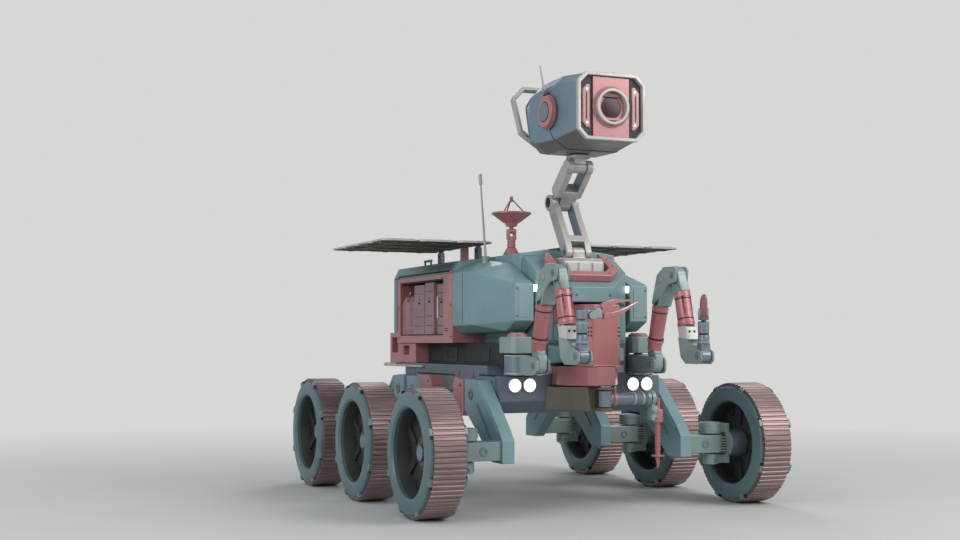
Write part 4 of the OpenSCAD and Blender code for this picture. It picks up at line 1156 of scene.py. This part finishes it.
class ROVER_OT_head(RoverOperator):
    """Camera head: shell, face with its lens and light strips, ears and rear ring"""

    bl_idname = "rover.head"
    bl_label = "Camera head"

    MIDDLE_Z = 1.919
    FACE_Y = -1.006  # the plane behind the lens and the light strips
    STRIP_X = 0.133
    EAR = (0.224, -0.746, 1.923)
    # The left half of the joint line round the shell's belly
    JOINT_LINE = ((0.1900, -0.742, 1.846), (0.1900, -0.752, 1.822), (0.1900, -0.768, 1.800),
                  (0.1898, -0.790, 1.7850), (0.1650, -0.808, 1.7605), (0.1400, -0.815, 1.7370),
                  (0.0, -0.818, 1.7368))

    def shell(self):
        # Faces that look down take the warm grey belly finish: painted shade under the head.
        shape = Shape("head_shell", lambda c, n: "belly_shade" if n.z < -0.5 else "head")
        for side in SIDES.values():
            shape.path([(side * x, y, z) for x, y, z in self.JOINT_LINE], 0.0020, "dark")
            shape.frame = mirrored(side)
            shape.block((0.1880, -0.640, 1.872), (0.1908, -0.612, 1.8765), "dark")
            shape.frame = Matrix.Identity(4)
        shape.disc((0.10, -0.93, 2.083), Z, 0.008, 0.016, "pale", 16)
        self.back(shape)
        shape.finish("head_shell_skin", "head", "head_paint", 0.006, smooth=6)

    def back(self, shape):
        """Recessed panels on the large faces that look backwards."""
        faces = [face for face in shape.bm.faces
                 if face[shape.body] and face.normal.y > 0.30 and face.calc_area() > 0.004]
        bmesh.ops.inset_individual(shape.bm, faces=faces, thickness=0.014, depth=-0.006)
        for face in faces:
            face.material_index = shape.index("panel")

    def face(self):
        """Rose face with the camera's lens between two light strips, behind a pale frame."""
        front = local("head_face")[0].y
        plane, z = self.FACE_Y, self.MIDDLE_Z
        shape = Shape("head_face", lambda c, n: (
            "bezel" if n.y < -0.9 and c.y > front + 0.022 else "pale"))
        shape.block((-0.097, plane - 0.006, z - 0.142), (0.097, plane + 0.001, z + 0.142), "rose")
        shape.block((-0.101, plane - 0.003, z - 0.143), (0.101, plane + 0.001, z + 0.143), "dark")
        shape.frame = facing((0, plane, z), -Y)
        shape.lathe([(0.072, 0.004), (0.0735, 0.030), (0.0735, 0.002), (0, 0.002), (0, 0.0045),
                     (0.060, 0.006)], "bezel", 64)
        shape.lathe([(0.100, 0.004), (0.100, 0.008), (0.088, 0.013), (0.086, 0.004)], "rose", 64)
        shape.lathe([(0.0, 0.004), (0.060, 0.004), (0.052, 0.007), (0.030, 0.0095), (0, 0.0105)],
                    "glass", 48)
        shape.frame = Matrix.Identity(4)
        # Lids below and above the lens: half width and height of both edges, reach, finish
        for wide, at, narrow, end, reach, finish in (
                (0.046, -0.054, 0.036, -0.066, 0.024, "rose"),
                (0.050, 0.046, 0.038, 0.062, 0.018, "hub")):
            shape.prism([(-wide, z + at), (wide, z + at), (narrow, z + end), (-narrow, z + end)],
                        "y", plane - reach, plane - SUNK, finish)
        for side in SIDES.values():
            self.strip(shape, side)
        shape.finish("head_face_skin", "head", "mast_metal", 0.003)

    def strip(self, shape, side):
        """Side light strip: a rose plate with a bright outline and two small lamps."""
        shape.frame = facing((side * self.STRIP_X, self.FACE_Y, self.MIDDLE_Z), -Y)
        up = (shape.frame.to_3x3() @ Y).z
        shape.frame = shape.frame @ Matrix.Scale(up, 4, Y) @ Matrix.Scale(
            side * (shape.frame.to_3x3() @ X).x, 4, X)
        outline = [(-0.017, -0.100), (-0.002, -0.100), (0.017, -0.076),
                   (0.017, 0.076), (-0.002, 0.100), (-0.017, 0.100)]
        shape.prism([(u * 1.10, v * 1.018) for u, v in outline], "z", -0.001, 0.0045, "white")
        shape.prism(outline, "z", -0.001, 0.0062, "rose")
        for v in (-0.080, 0.080):
            shape.disc((-0.004, v, 0.006), Z, 0.0045, 0.0025, "glow", 16)
        shape.block((-0.003, -0.062, 0.004), (0.003, 0.062, 0.0072), "dark")
        shape.frame = Matrix.Identity(4)

    def ears(self):
        shape = Shape("head_ears", lambda c, n: "pale" if c.z > 2.02 else "rose")
        for side in SIDES.values():
            x, y, z = self.EAR
            at, out = Vector((side * x, y, z)), side * X
            shape.disc(at, out, 0.050, 0.0015, "dark", 48, 0.046)
            shape.disc(at, out, 0.046, 0.0030, "head", 48)
            shape.disc(at - out * 0.022, out, 0.0835, 0.008, "rose", 64, 0.070)
        shape.finish("head_ear_skin", "head", "rose_paint", 0.006)

    def execute(self, context):
        self.shell()
        self.face()
        self.ears()
        Shape("head_rear_ring", "pale").finish("head_ring_skin", "head", "mast_metal", 0.003)
        return {"FINISHED"}


# ---- Boom and arms ----


class ROVER_OT_boom(RoverOperator):
    """Tool boom and its drill"""

    bl_idname = "rover.boom"
    bl_label = "Tool boom"

    AXIS = (-0.940, 0.536)
    COLUMN_X = 0.286
    FLUTES = 7

    def execute(self, context):
        y, z = self.AXIS
        boom = Shape("boom", "steel")
        boom.disc((0.040, y, z), X, 0.0335, 0.014, "rose", 32, 0.025)
        for x in (0.150, 0.196):
            boom.disc((x, y, z), X, 0.0310, 0.006, "pale", 40, 0.026)
        boom.finish("boom_skin", "boom", "arm_metal", 0.003)
        drill = Shape("drill", lambda c, n: "arm" if c.x < 0.275 and c.z > 0.425 else "rose")
        drill.disc((0.260, y, z), X, 0.024, 0.003, "steel", 32, 0.013)
        for i in range(self.FLUTES):
            drill.disc((self.COLUMN_X, y, 0.290 + 0.018 * i), Z, 0.0145, 0.005, "rose", 24, 0.011)
        for band in (0.435, 0.465):
            drill.disc((self.COLUMN_X, y, band), Z, 0.0275, 0.006, "rose", 32, 0.024)
        drill.bolt((0.250, y - 0.024, 0.470), -Y, "steel")
        drill.finish("drill_skin", "drill", "arm_rose", 0.002)
        return {"FINISHED"}


class ROVER_OT_arms(RoverOperator):
    """Both working arms: turrets, sleeves, brackets, wrists and grippers"""

    bl_idname = "rover.arms"
    bl_label = "Working arms"

    ARM_X = 0.315
    CHEEK = 0.036  # from the arm's middle to the face of a joint's cheek
    # (y, z) of the pins
    SHOULDER, ELBOW, WRIST = (-0.878, 0.695), (-1.088, 1.122), (-1.306, 0.742)
    SLEEVE = 0.0375  # radius
    # (y, z) of the sleeves' ends
    UPPER_SLEEVE = ((-0.865, 0.768), (-0.9290, 0.984))
    FORE_SLEEVE = ((-1.122, 1.042), (-1.1636, 0.877))

    def sleeve(self, shape, x, start, end, radius):
        """Raised end bands and dark grooves round a sleeve."""
        start, end = Vector((x, *start)), Vector((x, *end))
        along = (end - start).normalized()
        for at in (start + along * 0.012, end - along * 0.020):
            shape.disc(at, along, radius + 0.0022, 0.009, "rose", 48, radius - 0.004)
        for at in (start + along * 0.028, end - along * 0.034):
            shape.disc(at, along, radius + 0.0006, 0.0040, "dark", 48, radius - 0.004)

    def pin_caps(self, shape, x, pin):
        """Bolted caps on the two ends of a pin."""
        for out in (X, -X):
            centre = Vector((x, *pin)) + out * self.CHEEK
            shape.disc(centre, out, 0.017, 0.0025, "steel", 32)
            shape.bolt(centre + out * 0.0015, out, "steel", 0.8)

    def turret(self, name, x, side):
        shape = Shape(f"turret_{name}", lambda c, n: (
            "arm" if abs(abs(c.x) - self.ARM_X) > 0.030 and c.y < -0.74 else "steel"))
        self.pin_caps(shape, x, self.SHOULDER)
        for z in (0.738, 0.652):
            shape.disc((side * TURRET[0], TURRET[1], z), Z, 0.0655, 0.005, "pale", 48, 0.055)
        shape.finish(f"turret_{name}_skin", f"turret_{name}", "arm_metal", 0.004)

    def upper(self, name, x):
        """Upper arm with its sleeve and a square cover on each cheek."""
        start, end = (Vector((x, *point)) for point in self.UPPER_SLEEVE)
        shape = Shape(f"upper_arm_{name}", lambda c, n: (
            "rose" if on_tube(c, start, end, self.SLEEVE) else "arm"))
        self.sleeve(shape, x, (-0.8735, 0.797), (-0.9290, 0.984), 0.0385)
        self.pin_caps(shape, x, self.ELBOW)
        for way in (1, -1):
            near, far = sorted((x + way * 0.035, x + way * 0.0375))
            shape.block((near, -1.010, 1.090), (far, -0.972, 1.128), "rose")
            near, far = sorted((x + way * 0.035, x + way * 0.0385))
            shape.block((near, -1.004, 1.096), (far, -0.978, 1.122), "arm")
        shape.block((x - 0.011, -1.075, 1.1655), (x + 0.011, -1.053, 1.1672), "rose")
        shape.finish(f"upper_arm_{name}_skin", f"upper_arm_{name}", "arm_rose", 0.004)

    def fore(self, name, x):
        """Forearm with its sleeve, the white band and two small sensors."""
        start, end = (Vector((x, *point)) for point in self.FORE_SLEEVE)

        def finish(c, n):
            if on_tube(c, start, end, self.SLEEVE):
                return "rose"
            return "white" if 0.832 < c.z < 0.900 else "arm"

        shape = Shape(f"forearm_{name}", finish)
        self.sleeve(shape, x, (-1.1235, 1.034), (-1.1635, 0.880), 0.0380)
        for dx in (-0.013, 0.013):
            shape.disc((x + dx, -1.2085, 0.855), (0, -1, 0.1), 0.0055, 0.0020, "dark", 20)
        self.pin_caps(shape, x, self.WRIST)
        shape.finish(f"forearm_{name}_skin", f"forearm_{name}", "arm_teal", 0.004)

    def hand(self, name, x):
        """Banded link, swivel, palm and the two jaws."""
        y = self.WRIST[0]
        link = Shape(f"hand_link_{name}", "steel")
        for z in (0.802, 0.885):
            link.disc((x, y, z), Z, 0.0275, 0.006, "arm", 32, 0.022)
        link.disc((x, y, 0.840), Z, 0.0235, 0.004, "dark", 32, 0.018)
        link.finish(f"hand_link_{name}_skin", f"hand_link_{name}", "arm_metal", 0.003)
        for piece, finish, slot, edge in (
                ("hand_swivel", "steel", "arm_metal", 0.003), ("palm", "arm", "arm_teal", 0.003),
                ("jaw_upper", "rose", "arm_rose", 0.002), ("jaw_lower", "rose", "arm_rose", 0.002)):
            node = f"{piece}_{name}"
            Shape(node, finish).finish(f"{node}_skin", node, slot, edge)

    def execute(self, context):
        for name, side in SIDES.items():
            x = side * self.ARM_X
            self.turret(name, x, side)
            self.upper(name, x)
            self.fore(name, x)
            self.hand(name, x)
        return {"FINISHED"}


# ---- Stage ----


class ROVER_OT_stage(RoverOperator):
    """Pale floor, soft studio lights and the camera"""

    bl_idname = "rover.stage"
    bl_label = "Stage"

    BACKGROUND = (0.68, 0.68, 0.67, 1)
    SKY, SKY_STRENGTH = (0.80, 0.84, 0.88, 1), 0.60
    FLOOR_REACH = 40.0
    FADE = (1.6, 6.5)  # where the floor starts and ends to turn into the background
    AIM = (0, -0.2, 0.9)
    # (name, place, size, power, colour)
    LIGHTS = (
        ("key", (3.4, -5.0, 4.2), 4.0, 205.0, (1.0, 0.97, 0.94)),
        ("fill", (-5.5, -3.0, 3.2), 4.0, 120.0, (0.90, 0.96, 1.0)),
        ("rim", (2.5, 5.5, 4.0), 3.0, 110.0, (0.95, 0.98, 1.0)),
    )

    def floor(self, settings):
        n = Nodes("studio_floor")
        cloud = n.remap(n.noise(0.8, 3.0), 0.3, 0.7, 0.0, 1.0)
        n.link(n.mix(cloud, linear(shade(settings.floor, 0.985)), linear(settings.floor)),
               n.shader.inputs["Base Color"])
        n.set(Roughness=0.9, Specular_IOR_Level=0.1)
        self.fade(n)
        mesh = bpy.data.meshes.new("floor")
        corners = [(u * self.FLOOR_REACH, v * self.FLOOR_REACH, 0)
                   for u, v in ((-1, -1), (1, -1), (1, 1), (-1, 1))]
        mesh.from_pydata(corners, [], [(0, 1, 2, 3)])
        mesh.materials.append(n.material)
        floor = bpy.data.objects.new("floor", mesh)
        bpy.context.scene.collection.objects.link(floor)

    def fade(self, n):
        """Far off, the floor that the camera sees turns into the background."""
        place = n.add("ShaderNodeTexCoord")
        reach = n.add("ShaderNodeVectorMath", operation="LENGTH")
        n.link(place.outputs["Object"], reach.inputs[0])
        far = n.remap(reach.outputs["Value"], *self.FADE, 0.0, 1.0)
        seen = n.add("ShaderNodeMath", operation="MULTIPLY")
        n.link(far, seen.inputs[0])
        n.link(n.add("ShaderNodeLightPath").outputs["Is Camera Ray"], seen.inputs[1])
        glow = n.add("ShaderNodeEmission", Strength=1.0, Color=self.BACKGROUND)
        mix = n.add("ShaderNodeMixShader")
        n.link(seen.outputs["Value"], mix.inputs["Fac"])
        n.link(n.shader.outputs["BSDF"], mix.inputs[1])
        n.link(glow.outputs["Emission"], mix.inputs[2])
        n.link(mix.outputs["Shader"], n.tree.nodes["Material Output"].inputs["Surface"])

    def world(self):
        """Soft even light, behind which the camera sees the plain background."""
        world = bpy.data.worlds.new("studio")
        bpy.context.scene.world = world
        world.use_nodes = True
        tree = world.node_tree
        light = tree.nodes["Background"]
        light.inputs["Color"].default_value = self.SKY
        light.inputs["Strength"].default_value = self.SKY_STRENGTH
        seen = tree.nodes.new("ShaderNodeBackground")
        seen.inputs["Color"].default_value = self.BACKGROUND
        seen.inputs["Strength"].default_value = 1.0
        path = tree.nodes.new("ShaderNodeLightPath")
        mix = tree.nodes.new("ShaderNodeMixShader")
        tree.links.new(path.outputs["Is Camera Ray"], mix.inputs["Fac"])
        tree.links.new(light.outputs["Background"], mix.inputs[1])
        tree.links.new(seen.outputs["Background"], mix.inputs[2])
        tree.links.new(mix.outputs["Shader"], tree.nodes["World Output"].inputs["Surface"])

    def lights(self, context):
        for name, at, size, power, colour in self.LIGHTS:
            light = bpy.data.lights.new(name, "AREA")
            light.shape = "DISK"
            light.size = size
            light.energy = power
            light.color = colour
            thing = bpy.data.objects.new(name, light)
            thing.location = AXLE @ Vector(at)
            aim = AXLE @ Vector(self.AIM) - thing.location
            thing.rotation_euler = aim.to_track_quat("-Z", "Y").to_euler()
            context.scene.collection.objects.link(thing)

    def camera(self, context, settings):
        data = bpy.data.cameras.new("camera")
        data.lens = settings.lens
        camera = bpy.data.objects.new("camera", data)
        camera.location = AXLE @ Vector(settings.camera)
        camera.rotation_euler = (settings.pitch, 0, settings.heading)
        context.scene.collection.objects.link(camera)
        context.scene.camera = camera

    def execute(self, context):
        settings = context.scene.rover_stage
        self.floor(settings)
        self.world()
        self.lights(context)
        self.camera(context, settings)
        context.scene.view_settings.view_transform = "Standard"
        return {"FINISHED"}


# ---- Panel and registration ----

PIECES = (
    ROVER_OT_wheels, ROVER_OT_knuckles, ROVER_OT_suspension, ROVER_OT_chassis, ROVER_OT_hull,
    ROVER_OT_cargo, ROVER_OT_wings, ROVER_OT_roof_gear, ROVER_OT_mast, ROVER_OT_head,
    ROVER_OT_boom, ROVER_OT_arms, ROVER_OT_stage,
)
SETTINGS = {"rover_paints": RoverPaints, "rover_sizes": RoverSizes, "rover_stage": RoverStage}


class ROVER_PT_panel(bpy.types.Panel):
    """Lists the rover's pieces and settings"""

    bl_idname = "ROVER_PT_panel"
    bl_label = "Planetary rover"
    bl_space_type = "VIEW_3D"
    bl_region_type = "UI"
    bl_category = "Rover"

    def draw(self, context):
        for piece in PIECES:
            self.layout.operator(piece.bl_idname)
        for group, kind in SETTINGS.items():
            box = self.layout.box()
            for key in kind.__annotations__:
                box.prop(getattr(context.scene, group), key)


def register():
    for kind in (*SETTINGS.values(), *PIECES, ROVER_PT_panel):
        bpy.utils.register_class(kind)
    for name, kind in SETTINGS.items():
        setattr(bpy.types.Scene, name, bpy.props.PointerProperty(type=kind))


def unregister():
    for name in SETTINGS:
        delattr(bpy.types.Scene, name)
    for kind in (ROVER_PT_panel, *reversed(PIECES), *SETTINGS.values()):
        bpy.utils.unregister_class(kind)


def main():
    register()
    make_finishes()
    for piece in PIECES:
        group, call = piece.bl_idname.split(".")
        if getattr(getattr(bpy.ops, group), call)() != {"FINISHED"}:
            raise RuntimeError(f"{piece.bl_label} did not finish")


if __name__ == "__main__":
    main()
